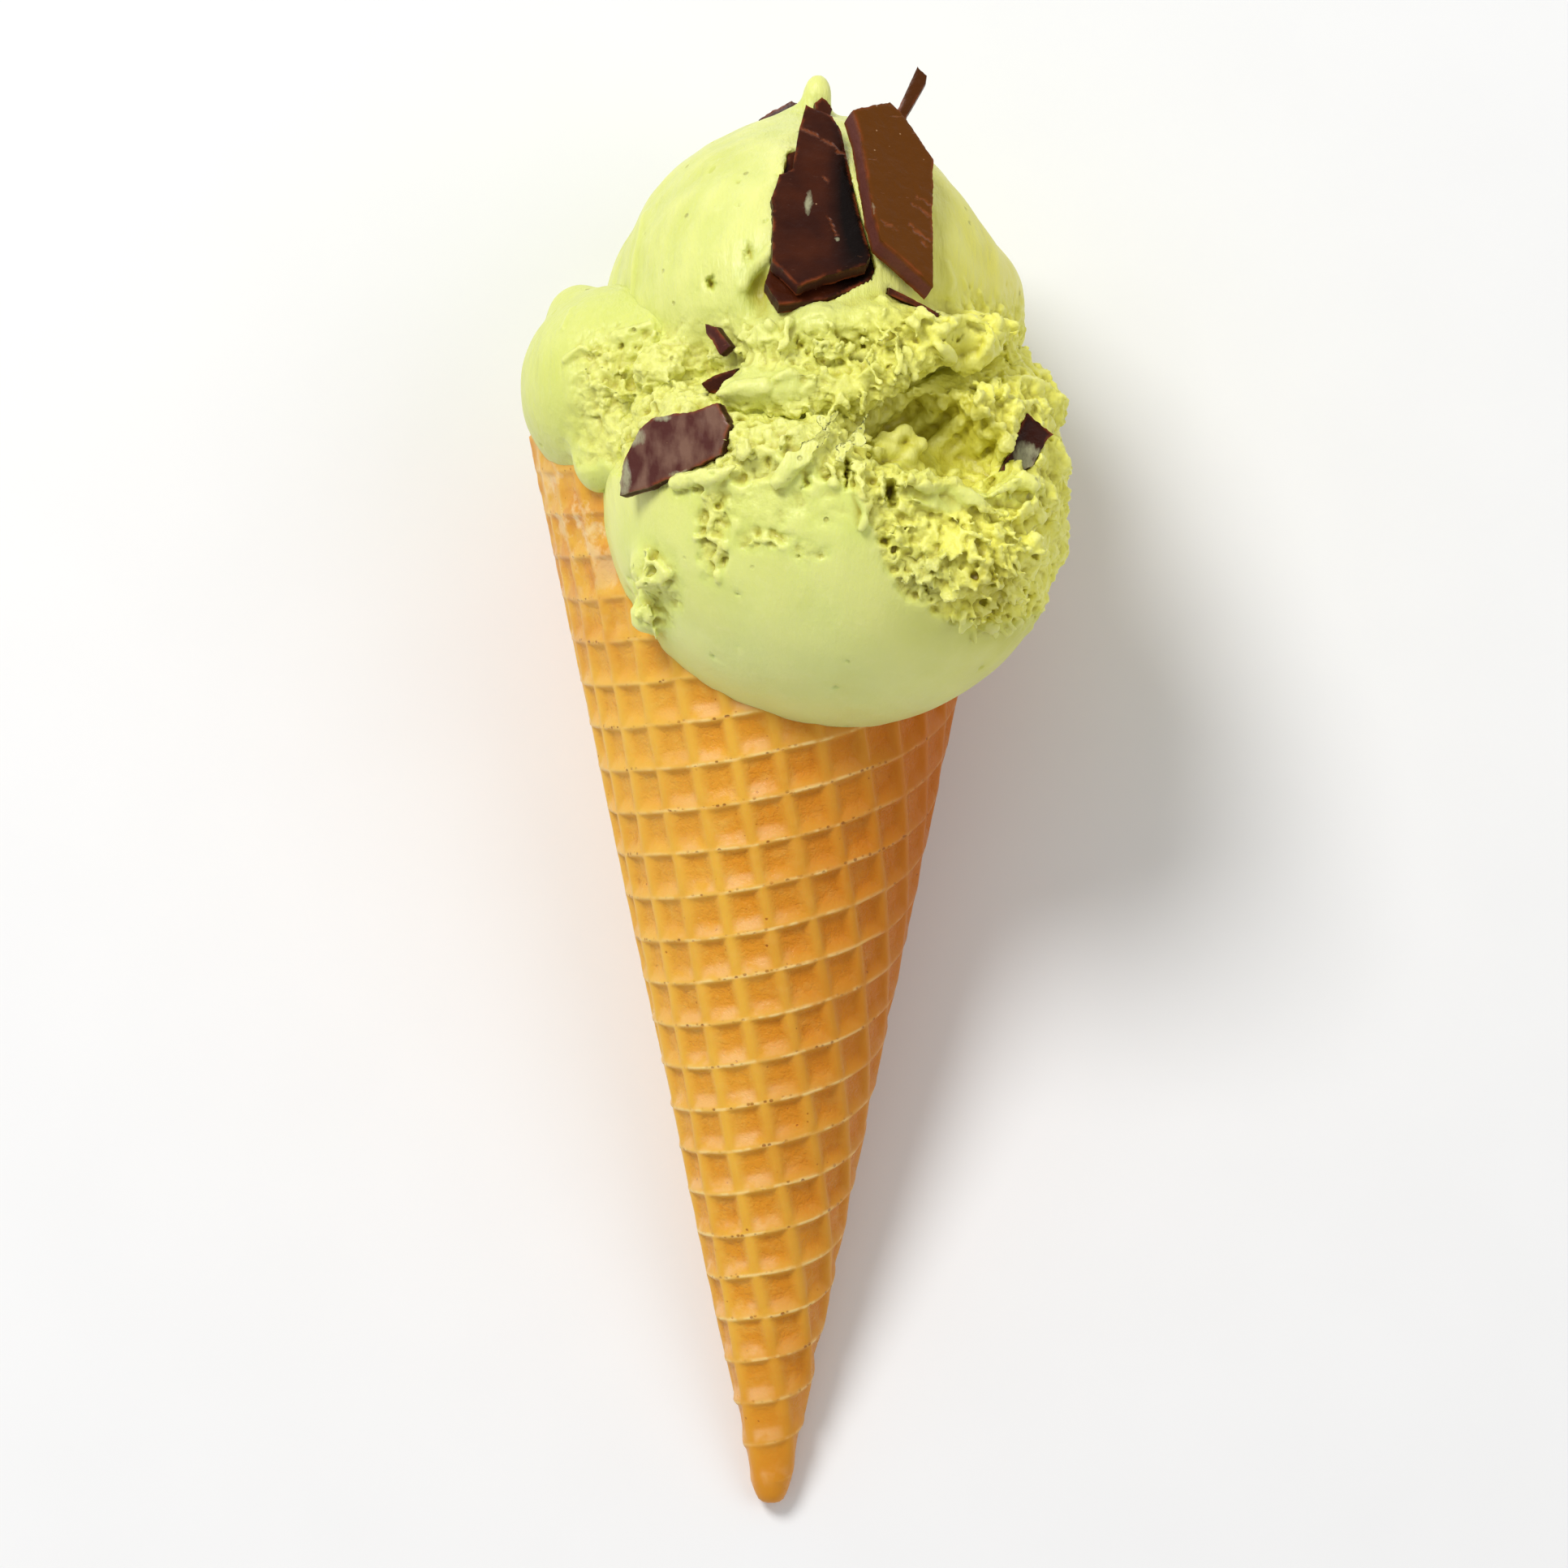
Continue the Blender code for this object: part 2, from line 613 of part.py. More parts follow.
def zone(point):
    """0 where a scoop is smooth, 1 where it is torn, 2 on the peak."""
    if np.linalg.norm(point / MM - PEAK) < PEAK_REACH:
        return 2
    return int(raggedness(point) > 0.5)


def scoop_bmesh(blobs, hollows, counts, gap=0.0):
    """A scoop's surface seen from its middle, with the points as dense as each zone needs."""
    middle = np.array(blobs[0][:3]) * MM
    directions, far = [], []
    for wanted, count in enumerate((*counts, PEAK_COUNT)):
        spread = spread_directions(count)
        reached = surface_reach(middle, spread, blobs, hollows)
        for direction, length in zip(spread, reached):
            if zone(middle + direction * length) == wanted:
                directions.append(direction)
                far.append(length)
    bm = bmesh.new()
    floor_normal = np.array((0, -COS_HALF, COS_HALF * CONE_SLOPE))
    for direction, length in zip(directions, far):
        length += relief(middle + direction * length) + gap
        falling = -direction @ floor_normal
        if falling > 1e-6:
            room = floor_distance(middle) / falling + gap
            length = min(length, room)
        bm.verts.new(middle + direction * length)
    hull = bmesh.new()
    for direction in directions:
        hull.verts.new(direction)
    bmesh.ops.convex_hull(hull, input=hull.verts)
    hull.verts.index_update()
    bm.verts.ensure_lookup_table()
    for face in hull.faces:
        bm.faces.new([bm.verts[vert.index] for vert in face.verts])
    hull.free()
    return bm


def plate_outline(outline, lean, turn):
    """A shard's own outline, from the one that shows when it leans back and turns right."""
    flat = []
    for x, y in outline:
        up = y / math.cos(lean)
        across = (x + up * math.sin(turn) * math.sin(lean)) / math.cos(turn)
        flat.append((across * MM, up * MM))
    return flat


def shard_bmesh(outline, thickness, grow=0.0, proud=0.0):
    """A broken plate: its front face at Z = 0, grown and raised where it is used to cut."""
    bm = bmesh.new()
    corners = [bm.verts.new((x, y, proud)) for x, y in outline]
    face = bm.faces.new(corners)
    bmesh.ops.triangulate(bm, faces=[face])
    made = bmesh.ops.extrude_face_region(bm, geom=list(bm.faces))
    moved = [item for item in made["geom"] if isinstance(item, bmesh.types.BMVert)]
    bmesh.ops.translate(bm, verts=moved, vec=(0, 0, -thickness - proud))
    bmesh.ops.recalc_face_normals(bm, faces=bm.faces)
    if grow:
        bm.normal_update()
        shifts = {vert: vert.calc_shell_factor() * grow * vert.normal for vert in bm.verts}
        for vert, shift in shifts.items():
            vert.co += shift
    return bm


def make_shard(name, material, parent, grow=0.0, proud=0.0):
    middle, outline, thickness, lean, turn = SHARDS[name]
    lean, turn = math.radians(lean), math.radians(turn)
    flat = plate_outline(outline, lean, turn)
    bm = shard_bmesh(flat, thickness * MM, grow, proud)
    title = f"{name}_room" if grow else name
    place = Vector(middle) * MM
    shard = object_from(title, bm, material, parent, place, (math.pi / 2 - lean, 0, turn))
    if grow:
        return as_cutter(shard)
    bevel = shard.modifiers.new("broken_edge", "BEVEL")
    bevel.width = SHARD_BEVEL
    bevel.segments = 1
    bevel.limit_method = "ANGLE"
    bevel.angle_limit = SHARD_BEVEL_ANGLE
    return shard


def make_scoop(name, blobs, hollows, counts, material, parent):
    scoop = object_from(name, scoop_bmesh(blobs, hollows, counts), material, parent)
    scoop.data.shade_smooth()
    return scoop


def main():
    clear_scene()
    laid = bpy.data.objects.new("laid_down", None)
    bpy.context.scene.collection.objects.link(laid)
    laid.rotation_euler = (HALF_ANGLE - math.pi / 2, 0, 0)
    laid.location = (LAID_X, LAID_Y, TIP_RADIUS * COS_HALF)

    wafer = principled("baked_wafer", (0.66, 0.30, 0.055), 0.42)
    ice_cream = principled("pistachio_ice_cream", (0.72, 0.74, 0.20), 0.5)
    chocolate = principled("dark_chocolate", (0.060, 0.016, 0.005), 0.32)

    make_waffle_cone(wafer, laid)
    wall = make_wall_clearance(laid)
    rooms = []
    for name in SHARDS:
        make_shard(name, chocolate, laid)
        proud = 0.0 if name in STICKING_OUT else OPEN_BEFORE
        rooms.append(make_shard(name, None, laid, grow=GAP, proud=proud))

    front_room = as_cutter(
        object_from("front_room", scoop_bmesh(FRONT_SCOOP, FRONT_HOLLOWS, FRONT_COUNTS, GAP), None, laid)
    )
    boolean(front_room, make_filling("filling_room", GAP, laid), "UNION")
    left_room = as_cutter(
        object_from("left_room", scoop_bmesh(LEFT_SCOOP, LEFT_HOLLOWS, LEFT_COUNTS, GAP), None, laid)
    )

    front = make_scoop("scoop_front", FRONT_SCOOP, FRONT_HOLLOWS, FRONT_COUNTS, ice_cream, laid)
    boolean(front, make_filling("filling", 0.0, laid), "UNION")
    boolean(front, wall, "DIFFERENCE")

    left = make_scoop("scoop_left", LEFT_SCOOP, LEFT_HOLLOWS, LEFT_COUNTS, ice_cream, laid)
    boolean(left, front_room, "DIFFERENCE")
    boolean(left, wall, "DIFFERENCE")

    top = make_scoop("scoop_top", TOP_SCOOP, TOP_HOLLOWS, TOP_COUNTS, ice_cream, laid)
    boolean(top, front_room, "DIFFERENCE")
    boolean(top, left_room, "DIFFERENCE")
    boolean(top, wall, "DIFFERENCE")

    for room in rooms:
        for scoop in (front, left, top):
            boolean(scoop, room, "DIFFERENCE")


main()
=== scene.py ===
import json
import math

import bmesh
import bpy
import numpy as np
from mathutils import Matrix, Vector, geometry, noise
from mathutils.bvhtree import BVHTree

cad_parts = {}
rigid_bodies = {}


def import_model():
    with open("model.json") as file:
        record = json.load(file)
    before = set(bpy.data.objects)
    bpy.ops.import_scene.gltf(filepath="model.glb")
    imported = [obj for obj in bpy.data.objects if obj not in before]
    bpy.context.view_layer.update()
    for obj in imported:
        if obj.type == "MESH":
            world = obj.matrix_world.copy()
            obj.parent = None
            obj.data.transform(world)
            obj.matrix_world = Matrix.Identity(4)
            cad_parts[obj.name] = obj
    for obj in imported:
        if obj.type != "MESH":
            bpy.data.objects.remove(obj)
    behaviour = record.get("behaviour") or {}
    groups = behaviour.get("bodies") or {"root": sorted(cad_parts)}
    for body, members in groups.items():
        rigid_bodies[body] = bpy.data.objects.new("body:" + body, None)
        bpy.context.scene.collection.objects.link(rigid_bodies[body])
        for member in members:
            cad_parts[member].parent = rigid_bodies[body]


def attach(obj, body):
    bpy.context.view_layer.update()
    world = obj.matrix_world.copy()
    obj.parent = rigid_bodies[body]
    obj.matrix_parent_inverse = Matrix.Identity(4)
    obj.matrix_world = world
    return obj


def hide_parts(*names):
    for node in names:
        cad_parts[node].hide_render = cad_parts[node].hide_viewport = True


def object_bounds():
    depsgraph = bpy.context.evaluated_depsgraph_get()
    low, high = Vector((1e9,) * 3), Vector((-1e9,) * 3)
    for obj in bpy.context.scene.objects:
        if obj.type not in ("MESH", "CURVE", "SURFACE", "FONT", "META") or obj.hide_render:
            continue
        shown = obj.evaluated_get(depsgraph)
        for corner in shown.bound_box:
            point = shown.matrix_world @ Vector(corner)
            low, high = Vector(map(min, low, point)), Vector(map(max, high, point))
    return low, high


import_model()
cad_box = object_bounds()


# Waffle cone: a disc sector of sweet batter, baked between two plates cut with a square grid,
# rolled round a mandrel while hot and pressed to a blunt tip. Sizes are in mm with the cone
# upright, its tip at the origin and the side that shows towards -Y.
CONE_LENGTH = 139.6
TIP_RADIUS = 2.0
CONE_SLOPE = 0.2125
WAFER_WALL = 2.2
PITCH = 5.61
GRID_SHIFT = (0.7, 0.85)
GRID_STRAIGHT_AT = math.radians(34)
GRID_START_HEIGHT = 3.0
RIM_ROUND = 0.5
SEAM_ANGLE = math.radians(225)
SEAM_CLIMB = math.radians(32)
SEAM_STEP = 1.2
SEAM_TAPER_SLANT = 60.0
TIP_PROFILE = ((0.06, 0.6), (0.2, 1.15), (0.6, 1.65), (1.3, 2.02), (2.1, 2.33))
HOLLOW_FLOOR = (2.2, 13.0)
ROUND_SIDES = 96
STEPS_ACROSS = (0.0, 0.05, 0.1, 0.17, 0.26, 0.4, 0.6, 0.74, 0.83, 0.9, 0.95)
STEPS_UP = (0.0, 0.03, 0.08, 0.15, 0.22, 0.3, 0.38, 0.5, 0.66, 0.82, 0.88, 0.93, 0.97)
POCKETS = {
    "Pitch": PITCH,
    "Pocket Depth": 0.78,
    "Upright Ridge": 0.07,
    "Side Wall": 0.27,
    "Ring Ridge": 0.03,
    "Lower Wall": 0.37,
    "Upper Wall": 0.16,
    "Wobble": 0.4,
    "Softened From": 106.0,
    "Softened Depth": 0.32,
    "Faded From": 2.0,
    "Full From": 22.0,
    "Seed": 4.0,
}

HALF_ANGLE = math.atan(CONE_SLOPE)
SIN_HALF = math.sin(HALF_ANGLE)
COS_HALF = math.cos(HALF_ANGLE)
APEX_BELOW_TIP = TIP_RADIUS / CONE_SLOPE

# The upright cone, in mm, laid on its back along +Y, in metres.
LAID_DOWN = (
    Matrix.Translation((-0.0035, -0.0906, TIP_RADIUS * COS_HALF / 1000))
    @ Matrix.Rotation(HALF_ANGLE - math.pi / 2, 4, "X")
    @ Matrix.Scale(0.001, 4)
)

class Reading:
    """A number or a place that nodes work out; arithmetic on it adds the nodes that do it."""

    def __init__(self, tree, socket):
        self.tree = tree
        self.socket = socket

    def into(self, socket):
        self.tree.links.new(self.socket, socket)

    def made(self, kind, others, output=0, **settings):
        return node_reading(self.tree, kind, output, dict(enumerate((self, *others))), **settings)

    def math(self, operation, *others):
        return self.made("ShaderNodeMath", others, operation=operation)

    def place(self, operation, *others):
        return self.made("ShaderNodeVectorMath", others, operation=operation)

    def measure(self, operation, *others):
        return self.made("ShaderNodeVectorMath", others, 1, operation=operation)

    def times(self, factor):
        """This place or direction, made longer by a factor."""
        inputs = {0: self, "Scale": factor}
        return node_reading(self.tree, "ShaderNodeVectorMath", 0, inputs, operation="SCALE")

    def axes(self):
        outputs = self.made("ShaderNodeSeparateXYZ", ()).socket.node.outputs
        return [Reading(self.tree, output) for output in outputs]

    def ramp(self, start, end, low=0.0, high=1.0, bend="LINEAR"):
        """Low up to the start, high from the end on, and even or eased between."""
        return self.made("ShaderNodeMapRange", (start, end, low, high), interpolation_type=bend)

    def cloud(self, size, detail=2.0, roughness=0.5, output=0):
        """Smooth random patches of a size, between 0 and 1, or a random place with output 1."""
        inputs = {"Vector": self, "Scale": 1 / size, "Detail": detail, "Roughness": roughness}
        return node_reading(self.tree, "ShaderNodeTexNoise", output, inputs)

    def drift(self, size, detail, roughness=0.5):
        """A random offset of up to a half for each place, even to all sides."""
        return self.cloud(size, detail, roughness, 1).place("SUBTRACT", (0.5, 0.5, 0.5))

    def cells(self, size, output=0):
        """Distance from the middle of random cells of a size, as a share of it."""
        inputs = {"Vector": self, "Scale": 1 / size}
        return node_reading(self.tree, "ShaderNodeTexVoronoi", output, inputs)

    def spots(self, size, start, end, axis, share):
        """Round spots, in a share of random cells of a size."""
        chosen = self.cells(size, 1).axes()[axis].math("LESS_THAN", share)
        return self.cells(size).ramp(start, end) * chosen

    def __add__(self, other):
        return self.math("ADD", other)

    def __sub__(self, other):
        return self.math("SUBTRACT", other)

    def __mul__(self, other):
        return self.math("MULTIPLY", other)

    def __truediv__(self, other):
        return self.math("DIVIDE", other)


def set_input(socket, value):
    if isinstance(value, Reading):
        value.into(socket)
    else:
        socket.default_value = value


def node_reading(tree, kind, output=0, inputs=None, **settings):
    """One node with its settings and inputs, as a reading of one of its outputs."""
    node = tree.nodes.new(kind)
    for key, value in settings.items():
        setattr(node, key, value)
    for key, value in (inputs or {}).items():
        set_input(node.inputs[key], value)
    return Reading(tree, node.outputs[output])


def joined_axes(tree, x, y, z):
    return node_reading(tree, "ShaderNodeCombineXYZ", inputs={0: x, 1: y, 2: z})


def geometry_tree(name, sizes):
    """A node tree for a mesh, its inputs, with one for each size, and the place of each point."""
    tree = bpy.data.node_groups.new(name, "GeometryNodeTree")
    for way in ("INPUT", "OUTPUT"):
        tree.interface.new_socket("Geometry", in_out=way, socket_type="NodeSocketGeometry")
    for label, value in sizes.items():
        kind = "NodeSocketInt" if isinstance(value, int) else "NodeSocketFloat"
        tree.interface.new_socket(label, in_out="INPUT", socket_type=kind).default_value = value
    start = tree.nodes.new("NodeGroupInput")
    given = {output.name: Reading(tree, output) for output in start.outputs if output.name}
    return tree, given, node_reading(tree, "GeometryNodeInputPosition")


def end_tree(tree, made, material):
    """The last two nodes of each tree: real meshes, in their material."""
    real = node_reading(tree, "GeometryNodeRealizeInstances", inputs={0: made})
    inputs = {"Geometry": real, "Material": material}
    dressed = node_reading(tree, "GeometryNodeSetMaterial", inputs=inputs)
    dressed.into(tree.nodes.new("NodeGroupOutput").inputs[0])
    return tree


def add_tree(obj, tree, sizes):
    """Puts a tree on an object, each input set by the identifier of its socket."""
    modifier = obj.modifiers.new(tree.name, "NODES")
    modifier.node_group = tree
    for item in tree.interface.items_tree:
        if item.in_out == "INPUT" and item.name in sizes:
            modifier[item.identifier] = sizes[item.name]


def moved(tree, mesh, offset):
    """The mesh with each of its points moved by its own offset."""
    inputs = {"Geometry": mesh, "Offset": offset}
    return node_reading(tree, "GeometryNodeSetPosition", inputs=inputs)


def stored(tree, mesh, name, value, kind="FLOAT"):
    """The mesh with a value stored on its points, for the finish to read."""
    inputs = {"Geometry": mesh, "Name": name, "Value": value}
    return node_reading(
        tree, "GeometryNodeStoreNamedAttribute", inputs=inputs, data_type=kind, domain="POINT"
    )


def new_object(name, data):
    obj = bpy.data.objects.new(name, data)
    bpy.context.scene.collection.objects.link(obj)
    return obj


def made_plain(obj):
    """The object's mesh as its modifiers shape it, with none of them left."""
    graph = bpy.context.evaluated_depsgraph_get()
    mesh = bpy.data.meshes.new_from_object(obj.evaluated_get(graph))
    obj.modifiers.clear()
    obj.data = mesh
    return mesh


def rows_of(items, title, width=3, kind=np.float32):
    """One value of each of a mesh's items, in rows."""
    values = np.empty(len(items) * width, kind)
    items.foreach_get(title, values)
    return values.reshape(-1, width)


def put_points(mesh, places):
    mesh.vertices.foreach_set("co", places.ravel().astype(np.float32))


def faced_out(mesh, apart=0.0):
    """Merges points that aren't this far apart, drops loose ones and turns all faces outwards."""
    work = bmesh.new()
    work.from_mesh(mesh)
    if apart:
        bmesh.ops.remove_doubles(work, verts=work.verts, dist=apart)
    loose = [vert for vert in work.verts if not vert.link_faces]
    bmesh.ops.delete(work, geom=loose, context="VERTS")
    bmesh.ops.recalc_face_normals(work, faces=work.faces)
    work.to_mesh(mesh)
    work.free()


def lay_down(obj):
    """Moves the upright mesh to its place, inside the box that the solids fill."""
    mesh = obj.data
    mesh.transform(LAID_DOWN)
    low, high = np.array(cad_box)
    edge = 2e-5
    put_points(mesh, np.clip(rows_of(mesh.vertices, "co"), low + (edge, edge, 0), high - edge))
    mesh.shade_smooth()
    mesh.update()


def new_finish(name, constants):
    """A material, its tree and its one Principled shader, which has these constants."""
    material = bpy.data.materials.new(name)
    material.use_nodes = True
    shader = material.node_tree.nodes["Principled BSDF"]
    for label, value in constants.items():
        shader.inputs[label].default_value = value
    return material, material.node_tree, shader


def dress(tree, shader, colour, gloss, relief, height):
    """Leads colour, roughness and fine relief, with its height in metres, into a shader."""
    inputs = {"Height": relief, "Distance": height, "Strength": 1.0}
    bump = node_reading(tree, "ShaderNodeBump", inputs=inputs)
    for label, reading in {"Base Color": colour, "Roughness": gloss, "Normal": bump}.items():
        reading.into(shader.inputs[label])


def srgb(red, green, blue):
    """A colour given as it shows on a screen, from 0 to 255."""
    values = [value / 255 for value in (red, green, blue)]
    linear = [v / 12.92 if v <= 0.04045 else ((v + 0.055) / 1.055) ** 2.4 for v in values]
    return (*linear, 1.0)


def tinted(tree, share, first, second):
    """From the first colour to the second, by a share."""
    inputs = {"Factor": share, "A": first, "B": second}
    return node_reading(tree, "ShaderNodeMix", "Result", inputs, data_type="RGBA")


def layered(tree, colour, *layers):
    """The colour with others laid over it in turn, each by its own share."""
    for share, shade in layers:
        shade = shade if isinstance(shade, Reading) else srgb(*shade)
        colour = tinted(tree, share, colour, shade)
    return colour


def object_place(tree):
    return node_reading(tree, "ShaderNodeTexCoord", "Object")


def own_reading(tree, name, output="Fac"):
    """A value that the piece carries on its points."""
    return node_reading(tree, "ShaderNodeAttribute", output, attribute_name=name)


def wafer_finish():
    """Golden baked batter: paler ridges, orange floors, browned specks and a sugar gloss, with painted
    light on the left, painted shade on the right and painted highlights on the crests and lower walls.
    """
    material, tree, shader = new_finish("baked_wafer_finish", {
        "Specular IOR Level": 0.15, "Coat Weight": 0.03, "Coat Roughness": 0.2,
        "Subsurface Weight": 0.18, "Subsurface Radius": (1.0, 0.45, 0.12),
        "Subsurface Scale": 0.0008,
    })
    place = object_place(tree)
    pocket = own_reading(tree, "pocket")
    crest = own_reading(tree, "ring_crest")
    across, depth, height = own_reading(tree, "upright", "Vector").axes()

    mottle = place.cloud(0.0022, 4.0, 0.6)
    amber = place.cloud(0.0038, 4.0, 0.5).ramp(0.58, 0.4) * height.ramp(104.0, 120.0)
    browned = place.cloud(0.005, 5.0, 0.7).ramp(0.6, 0.75) * pocket
    uneven = place.cloud(0.0005, 2.0, output=1).times(0.0004)
    specks = place.place("ADD", uneven).spots(0.0013, 0.15, 0.08, 0, 0.2)
    specks = specks * place.cloud(0.008, 2.0).ramp(0.42, 0.56)
    dots = own_reading(tree, "sheet", "Vector").cells(0.8).ramp(0.36, 0.2)
    dotted = dots * crest * place.cloud(0.007, 2.0).ramp(0.42, 0.55)
    middle = across.ramp(-20.0, -9.0) * across.ramp(16.0, 6.0)
    crest_highlight_dashes = place.cloud(0.0022, 2.0).ramp(0.44, 0.56, 0.25, 1.0)
    painted_wall_highlight = own_reading(tree, "lower_wall") * across.ramp(-16.0, -9.0) * across.ramp(4.0, -2.0)
    film = place.cloud(0.0045, 4.0, 0.6).ramp(0.5, 0.6)
    film = film * height.ramp(112.0, 128.0) * across.ramp(-14.0, -20.0) * depth.ramp(2.0, -14.0)
    colour = layered(
        tree, tinted(tree, pocket, srgb(235, 178, 64), srgb(226, 150, 40)),
        (place.cloud(0.011, 3.0).ramp(0.45, 0.7) * 0.4, (216, 136, 32)),
        (mottle.ramp(0.5, 0.72) * 0.45, (236, 184, 84)),
        # Painted light: the left side, towards the lamp, lighter and yellower.
        (across.ramp(-3.0, -17.0) * 0.4, (242, 194, 84)),
        # Painted shade: the right side, turned from the lamp, darker and more orange.
        (across.ramp(-4.0, 20.0) * 0.9, (190, 98, 0)),
        (height.ramp(24.0, 4.0) * 0.5, (212, 122, 8)),
        (amber * 0.5, (210, 122, 36)),
        (browned * 0.45, (182, 98, 24)),
        (specks * 0.7, (158, 72, 8)),
        # Painted highlight: pale dashes along the ring crests across the middle.
        (crest * middle.ramp(0.0, 1.0, 0.15, 0.8) * crest_highlight_dashes, (253, 222, 148)),
        # Painted highlight: a pinkish gloss on the pockets' lower walls, where the lamp reflects.
        (painted_wall_highlight * place.cloud(0.0035, 3.0).ramp(0.38, 0.55) * 0.5, (244, 194, 136)),
        (dotted * 0.8, (160, 84, 14)),
        (film * 0.75, (250, 222, 166)),
    )
    gloss = place.cloud(0.003, 3.0).ramp(0.3, 0.7, 0.26, 0.44)
    wrinkles = (place.cloud(0.0014, 3.0, 0.6) - 0.5).math("ABSOLUTE").ramp(0.0, 0.12) * pocket
    relief = mottle * 0.5 + wrinkles * 0.35 - specks * 0.3 - dotted * 0.8
    dress(tree, shader, colour, gloss, relief, 0.00018)
    return material


def point_on_turn(angle, radius, height):
    """A point at an angle measured from the left silhouette through the front."""
    return (-radius * math.cos(angle), -radius * math.sin(angle), height)


def rolled_up(slant, turn, out=0.0):
    """A point of the flat sheet, by its distance and turn about the apex, on the rolled cone."""
    angle = turn / SIN_HALF
    climb = min(max((angle - SEAM_ANGLE + SEAM_CLIMB) / SEAM_CLIMB, 0.0), 1.0)
    climb = SEAM_STEP * climb * climb * (3 - 2 * climb)
    out += climb * min(slant / SEAM_TAPER_SLANT, 1.0)
    radius = slant * SIN_HALF + out * COS_HALF
    return point_on_turn(angle, radius, slant * COS_HALF - APEX_BELOW_TIP - out * SIN_HALF)


def rows_zipped(faces, first, second):
    """Triangles between two rows of points, both (angle, point) in rising angle."""
    i = j = 0
    while i < len(first) - 1 or j < len(second) - 1:
        step_first = j == len(second) - 1 or (
            i < len(first) - 1 and first[i + 1][0] <= second[j + 1][0]
        )
        corners = [first[i][1], second[j][1]]
        if step_first:
            i += 1
            corners.append(first[i][1])
        else:
            j += 1
            corners.append(second[j][1])
        if len(set(corners)) == 3:
            faces.append(corners)


def wafer_mesh():
    """The closed wafer before its pockets are pressed, with each outer point's flat place."""
    points, flats, faces = [], [], []
    slant_low = (GRID_START_HEIGHT + APEX_BELOW_TIP) / COS_HALF
    slant_high = (CONE_LENGTH - RIM_ROUND + APEX_BELOW_TIP) / COS_HALF
    seam_start = SEAM_ANGLE - math.tau
    turn_low, turn_high = seam_start * SIN_HALF, SEAM_ANGLE * SIN_HALF
    grid_turn = GRID_STRAIGHT_AT * SIN_HALF
    many_x, many_y = len(STEPS_ACROSS), len(STEPS_UP)
    found, known = {}, {}

    def add(place, flat=(0.0, 0.0, 0.0)):
        points.append(place)
        flats.append(flat)
        return len(points) - 1

    def on_sheet(i, j):
        x = GRID_SHIFT[0] + (i // many_x + STEPS_ACROSS[i % many_x]) * PITCH
        y = GRID_SHIFT[1] + (j // many_y + STEPS_UP[j % many_y]) * PITCH
        return math.hypot(x, y), math.atan2(x, y) + grid_turn

    def corner(i, j):
        if (i, j) not in known:
            slant, turn = on_sheet(i, j)
            slant = min(max(slant, slant_low), slant_high)
            turn = min(max(turn, turn_low), turn_high)
            key = known[i, j] = (round(slant, 4), round(turn, 6))
            if key not in found:
                flat_turn = turn - grid_turn
                flat = (slant * math.sin(flat_turn), slant * math.cos(flat_turn), 1.0)
                found[key] = add(rolled_up(slant, turn), flat)
        return known[i, j]

    def cell_used(i, j):
        """Whether any of a pocket lies on the sheet."""
        slants, turns = zip(*(on_sheet(i + a, j + b) for a in (0, many_x) for b in (0, many_y)))
        return min(slants) < slant_high and max(turns) > turn_low and min(turns) < turn_high

    def pressed_cell(left, low):
        """The faces of one pocket and its ridges, cut off where the sheet ends."""
        for i in range(left, left + many_x):
            for j in range(low, low + many_y):
                keys = [corner(i, j), corner(i + 1, j), corner(i + 1, j + 1), corner(i, j + 1)]
                keys = [key for n, key in enumerate(keys) if key != keys[n - 1]]
                on_edge = 1 in [len(set(values)) for values in zip(*keys)]
                if not on_edge and len(set(keys)) > 2:
                    faces.append([found[key] for key in keys])

    cells_out = int(slant_high / PITCH) + 1
    for column in range(-cells_out, cells_out):
        for row in range(-1, cells_out):
            if cell_used(column * many_x, row * many_y):
                pressed_cell(column * many_x, row * many_y)

    used = {point for face in faces for point in face}
    kept = [(key, point) for key, point in found.items() if point in used]

    def seam_row(turn):
        return sorted((key[0], point) for key, point in kept if key[1] == round(turn, 6))

    def round_row(slant):
        return sorted((key[1] / SIN_HALF, p) for key, p in kept if key[0] == round(slant, 4))

    def ring(radius, height):
        angles = [seam_start + math.tau * k / ROUND_SIDES for k in range(ROUND_SIDES)]
        row = [(angle, add(point_on_turn(angle, radius, height))) for angle in angles]
        return row + [(SEAM_ANGLE, row[0][1])]

    def closed_by(row, height):
        """Triangles from a row to one point on the axis."""
        point = add((0.0, 0.0, height))
        rows_zipped(faces, row, [(seam_start, point), (SEAM_ANGLE, point)])

    start, end = seam_row(turn_low), seam_row(turn_high)
    outer = TIP_RADIUS + CONE_LENGTH * CONE_SLOPE
    rows = [
        round_row(slant_high),
        ring(outer - 0.25 * WAFER_WALL, CONE_LENGTH),
        ring(outer - 0.7 * WAFER_WALL, CONE_LENGTH),
        ring(outer - WAFER_WALL / COS_HALF, CONE_LENGTH - RIM_ROUND),
        ring(*HOLLOW_FLOOR),
    ]
    for above, below in zip(rows, rows[1:]):
        rows_zipped(faces, above, below)
    closed_by(rows[-1], HOLLOW_FLOOR[1] - 1.0)
    rows_zipped(faces, start, end)
    faces.append([start[-1][1], end[-1][1], rows[1][0][1]])

    above = round_row(slant_low)
    for n, (height, radius) in enumerate(reversed(TIP_PROFILE)):
        below = ring(radius, height)
        rows_zipped(faces, above, below)
        if n == 0:
            faces.append([start[0][1], end[0][1], below[0][1]])
        above = below
    closed_by(above, 0.0)

    mesh = bpy.data.meshes.new("waffle_cone_baked")
    mesh.from_pydata(points, [], faces)
    sheet = mesh.attributes.new("sheet", "FLOAT_VECTOR", "POINT")
    sheet.data.foreach_set("vector", np.array(flats, np.float32).ravel())
    faced_out(mesh)
    return mesh


